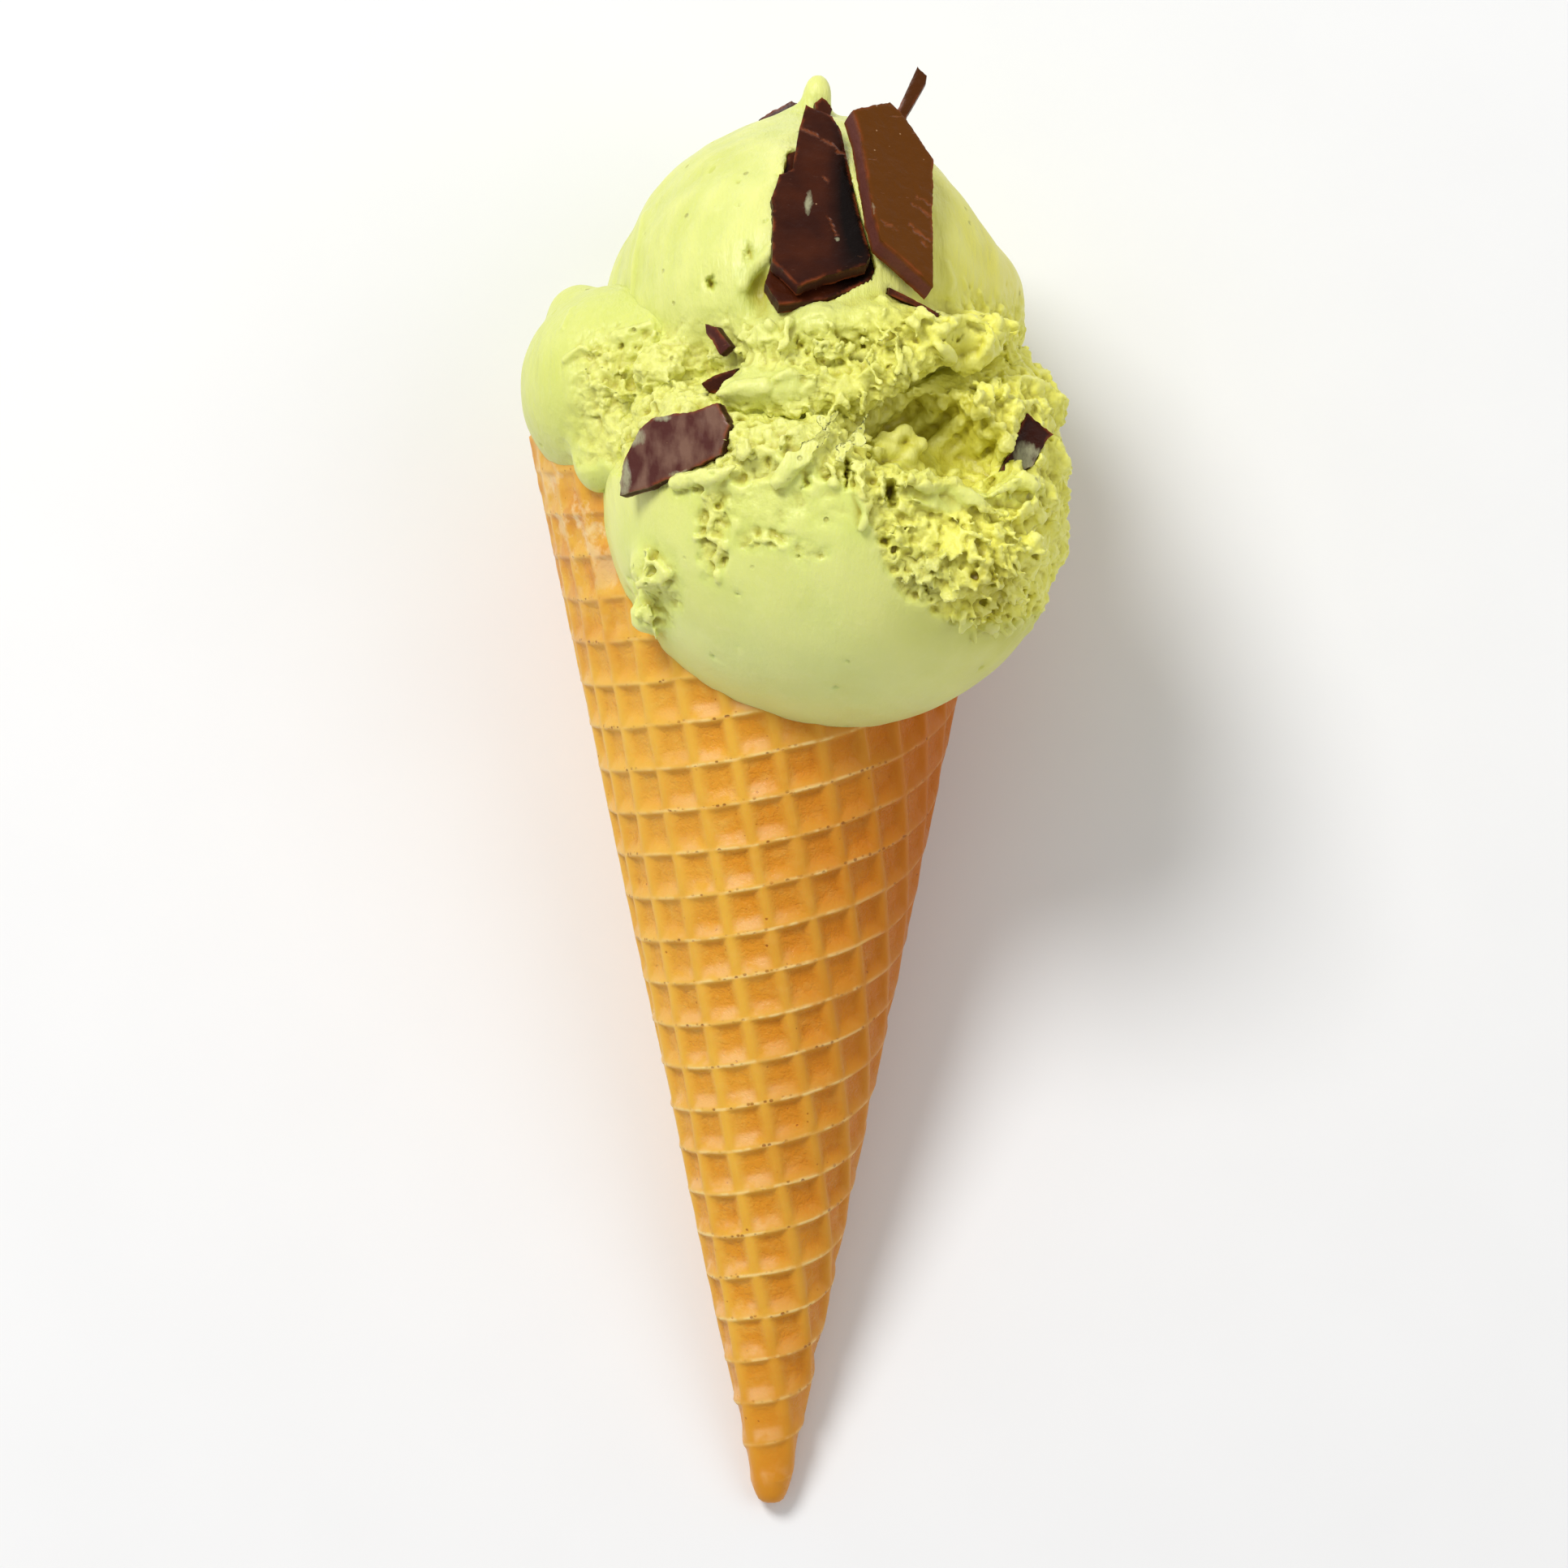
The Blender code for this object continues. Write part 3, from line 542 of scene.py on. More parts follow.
def pocket_press(material):
    """Presses the grid of square pockets into the rolled sheet."""
    tree, given, place = geometry_tree("pocket_press", POCKETS)
    inputs = {"Name": "sheet"}
    kind = "GeometryNodeInputNamedAttribute"
    sheet = node_reading(tree, kind, inputs=inputs, data_type="FLOAT_VECTOR")
    outside = sheet.axes()[2]
    x, y, z = place.axes()

    seeded = sheet.place("ADD", joined_axes(tree, given["Seed"] * 37.0, 0.0, given["Seed"]))
    flat = sheet.place("ADD", seeded.drift(9.0, 2.0).times(given["Wobble"] * 2.0))
    flat_x, flat_y, _ = flat.place("SUBTRACT", (*GRID_SHIFT, 0.0)).axes()

    across = (flat_x / given["Pitch"]).math("FLOORED_MODULO", 1.0)
    up = (flat_y / given["Pitch"]).math("FLOORED_MODULO", 1.0)
    from_above = up * -1.0 + 1.0
    from_ridge = across.math("MINIMUM", across * -1.0 + 1.0)
    wall_x = from_ridge.ramp(given["Upright Ridge"], given["Side Wall"])
    lower = up.ramp(given["Ring Ridge"], given["Lower Wall"])
    wall_y = lower.math("MINIMUM", from_above.ramp(given["Ring Ridge"], given["Upper Wall"]))
    pocket = wall_x.math("SMOOTH_MIN", wall_y, 0.1).math("MAXIMUM", 0.0)
    # The lower wall of each pocket, which the finish lights with a painted highlight.
    lower_wall = up.ramp(0.02, 0.08) * up.ramp(0.4, 0.28) * from_ridge.ramp(0.1, 0.22)
    deep = seeded.cloud(7.0, 1.0).ramp(0.3, 0.7, 0.82, 1.12)

    softened = z.ramp(given["Softened From"], CONE_LENGTH, 1.0, given["Softened Depth"])
    faded = z.ramp(given["Faded From"], given["Full From"], 0.14, 1.0)
    pressed = pocket * deep * softened * faded
    lumpy = (seeded.cloud(2.6, 3.0) - 0.5) * z.ramp(given["Softened From"], CONE_LENGTH, 0.2, 0.75)
    sunk = pressed * given["Pocket Depth"] - lumpy - wall_y.ramp(0.0, 1.0, 1.0, 0.0) * 0.04

    reach = joined_axes(tree, x, y, 0.0).place("NORMALIZE").times(COS_HALF)
    outwards = reach.place("SUBTRACT", (0.0, 0.0, SIN_HALF))
    # The ring crests, which the finish marks with dashes of painted highlight and with dark dots.
    crest = up.math("MINIMUM", from_above).ramp(0.045, 0.01)
    made = moved(tree, given["Geometry"], outwards.times(sunk * outside * -1.0))
    made = stored(tree, made, "pocket", pressed * outside)
    made = stored(tree, made, "ring_crest", crest * outside * faded)
    made = stored(tree, made, "lower_wall", lower_wall * outside)
    made = stored(tree, made, "upright", place, "FLOAT_VECTOR")
    return end_tree(tree, made, material)


cone = new_object("waffle_cone_baked", wafer_mesh())
add_tree(cone, pocket_press(wafer_finish()), POCKETS)
made_plain(cone)
lay_down(cone)
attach(cone, "root")
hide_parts("waffle_cone")


# Dark chocolate: thin plates and a stick, broken from a bar and pressed into the ice cream.
# The faces are satin from the mould, the broken edges dull, with a thin painted highlight
# where they meet. Some faces carry painted light, others painted sheen or painted shade.
SHARDS = {
    "chocolate_shard_large": (
        (6.2, -32, 167.8),
        ((-1.7, 12.3), (1.6, 10.8), (2.7, 8.9), (3.5, 4.8), (5, -2.7), (6.3, -8.1), (5.8, -9.2),
         (0.2, -11), (-2.8, -12.2), (-4.5, -10.3), (-6, -9), (-5.9, -3.5), (-6.1, -0.4), (-5.1, 2.7),
         (-3.4, 3.5), (-2.6, 8.9)),
        2, 36, 8,
    ),
    "chocolate_shard_under_large": (
        (6.2, -30.1, 166.4),
        ((-5.1, -13), (-6.9, -10.2), (-6.1, -7.5), (-5.4, 0.1), (-4, 7.3), (-1, 8.6), (3, 4.6),
         (5.9, -5), (6.9, -8.2), (6.4, -9.6), (1, -12.2)),
        1.9, 36, 8,
    ),
    "chocolate_shard_right": (
        (15.9, -33.4, 168.2),
        ((-5.5, 10.6), (-0.8, 12), (0.6, 10.7), (4.7, 4.5), (4.5, -1.9), (4.4, -12.6), (3, -11.2),
         (-2.1, -6.7), (-3, -3.2), (-4.6, 7.4)),
        3, 30, 27,
    ),
    "chocolate_stick": (
        (16.7, -12, 179),
        ((2.2, 7.3), (3.4, 6.2), (3.3, 5.2), (0.6, 0.4), (-2.6, -6.6), (-4.2, -5.6), (-0.9, 0.6)),
        2, 4, 0,
    ),
    "chocolate_shard_back": (
        (1.6, 4.5, 180.6),
        ((-3.4, 0.6), (-1.5, 1.9), (1.1, 3.1), (3.7, 2.1), (2.7, -3.7), (-1.6, -3.2)),
        1.8, 8, -10,
    ),
    "chocolate_chip_peak": (
        (6.9, -10.6, 181.3),
        ((-1.2, 0.5), (-0.3, 1.2), (0.5, 0.7), (1.1, -0.4), (0.4, -2.2), (-1, -1.6)),
        1.8, 12, 10,
    ),
    "chocolate_shard_notch": (
        (-6.6, -35.2, 149.6),
        ((-1.6, 1.9), (-0.2, 1.4), (1.6, -1.1), (0.3, -2.2), (-0.6, -0.6), (-1.5, 0.7)),
        1.6, 6, -34,
    ),
    "chocolate_shard_under_lobe": (
        (-6.6, -35.4, 144.2),
        ((-2.1, -0.3), (-0.8, 0.6), (2.3, 1.5), (1.9, -0.4), (0.2, -1.6), (-1.2, -1.5)),
        1.6, -8, -22,
    ),
    "chocolate_shard_left": (
        (-12, -40, 135.5),
        ((5.4, 5.6), (6.9, 2.7), (5.8, -0.9), (1.7, -2.8), (-3.1, -4.7), (-6.8, -5.7), (-6.8, -4),
         (-6.4, -1.4), (-4.4, 2.7), (-2.6, 4.1), (2.7, 4.7)),
        2, 6, -30,
    ),
    "chocolate_shard_cavity": (
        (32.6, -34, 136.6),
        ((-1.8, 1.4), (-0.4, 3.8), (0.9, 2.7), (2.9, 1.1), (2.2, 0.6), (0.3, -2.9), (-1.9, -4.1),
         (-3.8, -3.5)),
        1.8, 10, 16,
    ),
    "chocolate_shard_edge": (
        (17.9, -36.6, 153.4),
        ((-3.3, 1.6), (-3.1, 2.4), (0.2, 0.9), (3.2, -0.9), (3, -1.6), (0, 0.1)),
        6, 2, 6,
    ),
}
STICKING_OUT = ("chocolate_stick", "chocolate_shard_back", "chocolate_chip_peak")
OPEN_BEFORE = 7.0
PLATE_REACH = 20.0
SUNK_TO = -0.5
EDGE_STEP = 0.35
JAGGED = 0.16
FACE_STEP = 0.32
WAVE = 0.10
BROKEN_ROWS = 4
FACE_MARGIN = 0.2
EDGE_ROUND = 0.25
EDGE_DROP = 0.07
GLINT_WIDTH = 0.3
BREAK_BULGE = 0.12
BREAK_ROUGH = 0.1
BREAK_INSET = 0.05

# Ovals on the faces that show, from the middle of each plate: across, up and half sizes. The
# first are thin smears of melted cream, the next darker parts that a neighbour shades, and the
# last places where the ice cream laps over the plate.
SMEARS = {
    "chocolate_shard_large": ((-1.4, -1.0, 0.5, 1.8), (2.2, -5.9, 0.3, 0.3)),
    "chocolate_shard_right": ((-3.4, -2.9, 0.45, 1.3),),
    "chocolate_shard_left": (
        (-6.2, -3.5, 0.9, 2.6), (-4.8, 1.6, 1.2, 1.2), (1.4, -3.3, 2.2, 0.6), (-1.6, 3.9, 1.2, 0.5),
    ),
    "chocolate_shard_cavity": ((-0.6, -1.9, 2.0, 1.9),),
}
SHADED = {
    "chocolate_shard_large": ((4.6, 0.0, 2.9, 12.0),),
    "chocolate_shard_under_large": ((4.0, -2.0, 4.0, 12.0),),
}
LAPPED = {
    "chocolate_shard_left": ((3.6, -3.0, 3.4, 1.1),),
    "chocolate_shard_cavity": ((-2.6, -3.9, 2.0, 1.5),),
}
# Scores and fracture lines on the faces, each a groove with a painted glint along it: from, to
# and half width.
SCORES = {
    "chocolate_shard_large": (
        (-2.6, 9.1, 0.6, 7.4, 0.16), (0.6, 7.4, 4.0, 4.6, 0.16), (1.0, -3.0, 2.0, -5.4, 0.1),
        (0.4, 2.6, 1.2, 1.6, 0.1),
    ),
    "chocolate_shard_right": (
        (-2.1, -4.1, -0.2, -5.2, 0.14), (1.5, -4.4, 3.4, -7.2, 0.16), (2.2, -5.2, 4.2, -6.6, 0.12),
        (1.9, -1.6, 3.8, -3.0, 0.16), (2.4, -0.6, 4.2, -1.8, 0.1),
    ),
}
# Painted light and sheen, face by face: above 0 a lighter brown than the rest, painted light;
# below 0 a greyish purple, painted sheen.
PAINTED_TONES = {
    "chocolate_shard_right": 1.0,
    "chocolate_shard_left": -1.0,
    "chocolate_stick": 0.45,
    "chocolate_shard_notch": -0.6,
}


def chocolate_finish():
    """Dark chocolate: a satin face, duller greyish breaks, thin painted highlights at the edges and
    painted light, sheen and shade on some faces.
    """
    material, tree, shader = new_finish("dark_chocolate_finish", {"Specular IOR Level": 0.15})
    place = object_place(tree)
    broken = own_reading(tree, "broken")
    painted_tone = own_reading(tree, "painted_tone")
    sheen_patches = place.place("MULTIPLY", (1.0, 0.5, 1.0)).cloud(0.0022, 3.0).ramp(0.4, 0.66)
    scratched = place.place("MULTIPLY", (0.3, 1.0, 0.3)).cloud(0.0007, 3.0, 0.6)
    scratches = scratched.ramp(0.66, 0.72) * place.cloud(0.004, 2.0).ramp(0.5, 0.62)
    glint_breaks = place.cloud(0.0022, 3.0).ramp(0.42, 0.6)
    score_and_glint = own_reading(tree, "score_and_glint") * place.cloud(0.0011, 3.0).ramp(0.36, 0.52)
    dust = place.place("ADD", (0.0031, 0.0207, 0.0013)).spots(0.0014, 0.1, 0.05, 2, 0.16)
    streaked = place.place("MULTIPLY", (1.0, 0.4, 0.5))
    uneven = (streaked.cloud(0.0007, 4.0, 0.6) - 0.5) * 1.9
    smeared = (own_reading(tree, "smeared") * 1.1 + uneven).ramp(0.45, 1.25)
    patches = place.cloud(0.006, 3.0).ramp(0.35, 0.7)
    colour = layered(
        tree, tinted(tree, patches, srgb(50, 18, 7), srgb(72, 30, 10)),
        # Painted light: a lighter brown where the tone is above 0; painted sheen: greyish purple
        # patches where it is below 0.
        (painted_tone.ramp(0.0, 1.0), (96, 52, 4)),
        (painted_tone.ramp(0.0, -1.0) * 0.85, tinted(tree, sheen_patches, srgb(86, 46, 42), srgb(132, 98, 82))),
        (own_reading(tree, "shaded"), (12, 4, 2)),
        # Duller breaks, lighter where the face carries painted light.
        (broken, tinted(tree, painted_tone.ramp(0.0, 1.0), srgb(60, 28, 18), srgb(100, 54, 44))),
        (scratches * 0.6, (136, 82, 46)),
        # Painted highlight: a thin glint along the edges of each face, broken in places.
        (own_reading(tree, "glint") * glint_breaks * 0.75, (136, 64, 30)),
        # Score lines: a groove in the relief with a painted glint along it.
        (score_and_glint * 0.55, (150, 80, 42)),
        (dust * 0.7, (190, 150, 112)),
        (smeared * 0.66, (184, 184, 146)),
    )
    gloss = place.cloud(0.002, 3.0).ramp(0.3, 0.7, 0.24, 0.38) + broken * 0.2
    relief = place.cloud(0.0026, 4.0, 0.55) * 1.8 - scratches * 0.4 + smeared * 0.5 - score_and_glint * 0.7
    dress(tree, shader, colour, gloss, relief, 0.00016)
    return material


def oval_share(x, y, ovals):
    """1 inside any of the ovals, falling to 0 just outside."""
    share = 0.0
    for across, up, half_across, half_up in ovals:
        reach = math.hypot((x - across) / half_across, (y - up) / half_up)
        share = max(share, min(max((1.35 - reach) / 0.7, 0.0), 1.0))
    return share


def line_share(x, y, lines):
    """1 on any of the lines, falling to 0 beside them."""
    share = 0.0
    for x0, y0, x1, y1, half_width in lines:
        along = Vector((x1 - x0, y1 - y0))
        spot = Vector((x - x0, y - y0))
        spot += Vector((noise.noise(Vector((x, y, 1.0))), noise.noise(Vector((x, y, 5.0))))) * 0.35
        near = min(max(spot.dot(along) / along.length_squared, 0.0), 1.0)
        away = (spot - along * near).length
        share = max(share, min(max(1.6 - away / half_width, 0.0), 1.0))
    return share


def shard_shape(name):
    """A shard's true outline, thickness, lean and turn in radians, and place in the cone."""
    middle, outline, thickness, lean, turn = SHARDS[name]
    lean, turn = math.radians(lean), math.radians(turn)
    flat = []
    for x, y in outline:
        up = y / math.cos(lean)
        flat.append(((x + up * math.sin(turn) * math.sin(lean)) / math.cos(turn), up))
    upturned = Matrix.Rotation(math.pi / 2 - lean, 4, "X")
    place = Matrix.Translation(middle) @ Matrix.Rotation(turn, 4, "Z") @ upturned
    return flat, thickness, lean, turn, place


def from_front(x, y, lean, turn):
    """Where a spot of a leaning, turned face shows, across and up."""
    return x * math.cos(turn) - y * math.sin(turn) * math.sin(lean), y * math.cos(lean)


def middle_of(outline):
    return Vector((sum(p[0] for p in outline), sum(p[1] for p in outline))) / len(outline)


def jagged_outline(outline, salt):
    """The outline broken into short steps, each pushed a little inwards."""
    middle = middle_of(outline)
    broken = []
    for n, point in enumerate(outline):
        here, before = Vector(point), Vector(outline[n - 1])
        steps = max(1, round((here - before).length / EDGE_STEP))
        for k in range(1, steps + 1):
            spot = before.lerp(here, k / steps)
            bite = noise.noise(Vector((*spot, salt)) * 0.9) + noise.noise(Vector((*spot, salt)) * 2.6)
            inwards = (middle - spot).normalized()
            broken.append(tuple(spot + inwards * JAGGED * (0.5 + bite * 0.8)))
    return broken


def edge_distances(spots, outline):
    """How far each spot of the face lies from the outline."""
    spots = np.array(spots)[:, None, :2]
    starts = np.array(outline)
    along = np.roll(starts, -1, axis=0) - starts
    share = ((spots - starts) * along).sum(-1) / ((along * along).sum(-1) + 1e-9)
    nearest = starts + along * np.clip(share, 0, 1)[..., None]
    return np.linalg.norm(spots - nearest, axis=-1).min(axis=1)


def inside_outline(spots, outline):
    """Which of the spots lie inside the outline."""
    x, y = spots[:, 0], spots[:, 1]
    inside = np.zeros(len(spots), bool)
    for (x0, y0), (x1, y1) in zip(outline, outline[1:] + outline[:1]):
        if y0 != y1:
            inside ^= ((y0 > y) != (y1 > y)) & (x < x0 + (y - y0) / (y1 - y0) * (x1 - x0))
    return inside


def broken_plate(name, salt):
    """One plate: a wavy face and back, and a rough break between them."""
    outline, thickness, lean, turn, place = shard_shape(name)
    rim = jagged_outline(outline, salt)
    low, high = np.min(rim, axis=0), np.max(rim, axis=0)
    inner = np.array([
        (x, y)
        for k, y in enumerate(np.arange(low[1], high[1], FACE_STEP * 0.87))
        for x in np.arange(low[0] + (k % 2) * FACE_STEP / 2, high[0], FACE_STEP)
    ])
    inner = inner[inside_outline(inner, rim)]
    inner = inner[edge_distances(inner, rim) > FACE_MARGIN]
    flat = [Vector(point) for point in (*rim, *inner)]
    edges = [(n, (n + 1) % len(rim)) for n in range(len(rim))]
    made = geometry.delaunay_2d_cdt(flat, edges, [list(range(len(rim)))], 1, 1e-5)
    spots = [tuple(point) for point in made[0]]
    count = len(spots)
    from_edge = edge_distances(spots, rim)
    rounding = np.clip(1 - from_edge / EDGE_ROUND, 0, 1) ** 2 * EDGE_DROP
    points = []
    stored_values = {key: [] for key in ("broken", "glint", "smeared", "shaded", "score_and_glint", "painted_tone")}

    def add(point, *values):
        points.append(point)
        for row, value in zip(stored_values.values(), (*values, PAINTED_TONES.get(name, 0.0))):
            row.append(value)

    for side, level in ((0, 0.0), (1, -thickness)):
        for (x, y), drop, distance in zip(spots, rounding, from_edge):
            spot = Vector((x * 0.25, y * 0.25, salt + side * 7.0))
            wave = WAVE * noise.noise(spot) + 0.03 * noise.noise(spot * 4.0)
            shown = from_front(x, y, lean, turn)
            marks = (0.0, 0.0, 0.0) if side else (
                oval_share(*shown, SMEARS.get(name, ())),
                oval_share(*shown, SHADED.get(name, ())),
                line_share(*shown, SCORES.get(name, ())),
            )
            glint = min(max(1.15 - distance / GLINT_WIDTH, 0.0), 1.0)
            add((x, y, level + wave + (drop if side else -drop)), 0.0, glint, *marks)
    faces = [tuple(face) for face in made[2]]
    faces += [tuple(count + n for n in reversed(face)) for face in made[2]]

    order = [min(range(count), key=lambda n: (spots[n][0] - x) ** 2 + (spots[n][1] - y) ** 2)
             for x, y in rim]
    rows = [order]
    centre = middle_of(rim)
    for row in range(1, BROKEN_ROWS):
        share = row / BROKEN_ROWS
        rows.append([len(points) + n for n in range(len(rim))])
        for (x, y), top_point in zip(rim, order):
            spot = Vector((x, y))
            rough = noise.noise(Vector((x * 1.1, y * 1.1, salt + share * 5)))
            out = BREAK_BULGE * math.sin(math.pi * share) + BREAK_ROUGH * rough - BREAK_INSET
            pushed = spot + (spot - centre).normalized() * out
            above, below = points[top_point][2], points[top_point + count][2]
            add((pushed.x, pushed.y, above + (below - above) * share), 1.0, 0.0, 0.0, 0.0, 0.0)
    rows.append([count + n for n in order])
    for upper, lower in zip(rows, rows[1:]):
        for n in range(len(upper)):
            faces.append((upper[n - 1], upper[n], lower[n], lower[n - 1]))

    mesh = bpy.data.meshes.new(name)
    mesh.from_pydata(points, [], faces)
    for title, values in stored_values.items():
        mesh.attributes.new(title, "FLOAT", "POINT").data.foreach_set("value", values)
    faced_out(mesh, 1e-4)
    mesh.transform(place)
    return mesh


chocolate = chocolate_finish()
for salt, name in enumerate(SHARDS):
    shard = new_object(f"{name}_broken", broken_plate(name, salt * 3.7))
    shard.data.materials.append(chocolate)
    lay_down(shard)
    shard.data.set_sharp_from_angle(angle=math.radians(40))
    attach(shard, "root")
    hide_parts(name)


# Front scoop: churned pistachio ice cream, pressed onto the cone with a round scoop. The bowl
# of the scoop left its lower half smooth; above it the ice cream was torn from the tub, into
# crags, curls and thin flakes. A plug of the same ice cream fills the mouth of the cone.
FRONT_BLOBS = (
    (8.6, -17.5, 131, 30.1, 30.1, 30.1), (31, -21, 142.5, 6, 7, 6), (-2.4, -40.5, 132.2, 5, 4, 4),
    (6.1, -43.2, 134.8, 5, 4, 4.6), (14, -42.6, 136.6, 4.6, 3.8, 3.8),
    (21.8, -34, 122.8, 11.2, 11.2, 9.3), (-14.7, -32, 120.9, 3, 3, 3.4),
    (-15.4, -26.6, 115.2, 2.4, 2.6, 2.6), (0, 0, 128, 26.6, 26.6, 16),
)
FRONT_HOLLOWS = (
    (18.6, -46.5, 138.4, 9.5, 17, 6), (24.2, -44, 134.8, 6.5, 13, 4.6),
)
PRESSED_CREST = (-46.0, 137.8)
PRESSED_SLOPE = 0.5
FILLET = 3.0
GRAIN = 0.55
FUSED = 0.26
MOST_TRIANGLES = 190_000

# The edge between the smooth bowl and the torn top, across and up.
TORN_EDGE = (
    (-21, 134), (-15, 130.6), (-9, 129.8), (4, 131), (9.4, 130.2), (11.4, 127.8), (12.8, 124.6),
    (13.8, 121), (15.9, 117.2), (20.4, 114.4), (26.2, 112.6), (30.6, 113.2), (34.5, 115),
)
# The heights that edge lies between, and how far the torn part goes up, back and left.
EDGE_BETWEEN = (100.0, 140.0)
TORN_UP_TO = 154.0
TORN_BACK_TO = 6.0
TORN_LEFT_TO = 27.0
# Ragged places on the smooth bowl: middle across and up, half sizes, and how torn.
TORN_PATCHES = (
    (-7.2, 125.6, 2, 6.6, 1), (-0.8, 124.2, 3.6, 1.6, 0.75), (-1.5, 128.2, 8, 2.8, 0.5),
    (4.6, 122.6, 2.6, 1.4, 0.5), (7, 127.6, 3, 2.4, 0.3), (-14.6, 118, 3.4, 6, 0.7),
)
# Places in the torn part that are smoother than the rest, and how much smoother.
SMOOTHER = (
    (-1.6, 143.4, 7, 3, 0.75), (3, 132.8, 3.2, 2.6, 0.7), (16.6, 135.6, 3, 3, 0.5),
    (22.5, 129.4, 6, 1.8, 0.7), (20.6, 136.8, 9.5, 5, 0.55), (24.4, 148, 4.4, 3.2, 0.8),
    (-10, 131.8, 5.5, 1.6, 0.6), (30.8, 131, 4, 2.6, 0.5),
)
# Gaps and holes between torn pieces: middle across and up, half sizes, and depth.
FRONT_PITS = (
    (9.5, 132, 0.4, 2, 2.2), (14.8, 129.9, 0.7, 1.7, 3.2), (4.4, 131, 0.6, 1.1, 1.2),
    (-5.4, 135.2, 1.2, 0.5, 1), (14.1, 124, 0.6, 1.1, 1.2), (19.4, 118.2, 0.35, 0.9, 0.9),
    (27.6, 119.4, 0.5, 0.9, 1), (-14.2, 117.4, 0.9, 1, 0.8),
)
# Where thin flakes stand and where curls do: middle across and up, half sizes, and how many.
FRONT_FLAKES = (
    (19.6, 123.4, 5, 5.4, 1), (27.6, 120.6, 5.4, 5, 0.35), (26.6, 114.9, 6, 2.2, 0.6),
)
FLAKES_FROM = (20.5, -43.0, 127.5)
FRONT_CURLS = (
    (4, 135.4, 12.5, 2.2, 0.35), (13.2, 130, 3, 5, 0.45), (30, 142, 6, 4, 0.45),
    (31, 128.6, 6, 3, 0.35), (28, 120, 6.5, 6.5, 0.5),
)
CRAGS = {
    "Lump Height": 1.0,
    "Lump Size": 5.5,
    "Crease Depth": 1.0,
    "Crease Size": 3.0,
    "Chunk Height": 2.2,
    "Chunk Size": 4.4,
    "Dent Height": 0.4,
    "Flake Spacing": 0.7,
    "Flake Sunk": 0.1,
    "Curl Spacing": 1.3,
    "Curl Lean": 1.4,
    "Curl Sunk": 0.75,
    "Seed": 3,
}
# Folds pushed up by the scoop: the oval they fill, which way they follow each other, and
# their width and height.
FOLDS = (
    ((20.6, 137.5, 10.5, 7.5, 1.0), (-0.6, 0.8), 3.1, 0.75),
    ((28.5, 120.5, 7.0, 8.0, 1.0), (0.92, 0.39), 2.7, 0.8),
    ((33.0, 134.0, 4.0, 9.0, 1.0), (0.35, 0.94), 3.4, 0.6),
)

# Torn fingers and flakes, in mm: length, thickness, bend and how flat each is.
CURL_SHAPES = (
    (2, 0.75, 0.9, 1), (1.6, 0.85, 1.1, 0.9), (2.4, 0.65, 1.5, 0.8), (2.2, 1.2, 0.5, 0.5),
    (2.6, 1.35, 1, 0.45), (1.2, 1.1, 0.2, 1), (1, 0.6, 0.4, 1),
)
FLAKE_SHAPES = (
    (2.2, 0.4, 0.4, 0.9), (2.6, 0.36, 0.6, 1), (1.8, 0.44, 0.3, 1), (2.2, 0.62, 0.4, 0.5),
    (2.6, 0.68, 0.6, 0.45), (1.4, 0.46, 0.5, 1),
)
TEARS = {
    "Pit Depth": 0.7,
    "Pit Spacing": 1.7,
    "Grain Depth": 0.2,
    "Fine Crease Depth": 0.38,
    "Fine Crease Size": 1.7,
    "Seed": 1.0,
}
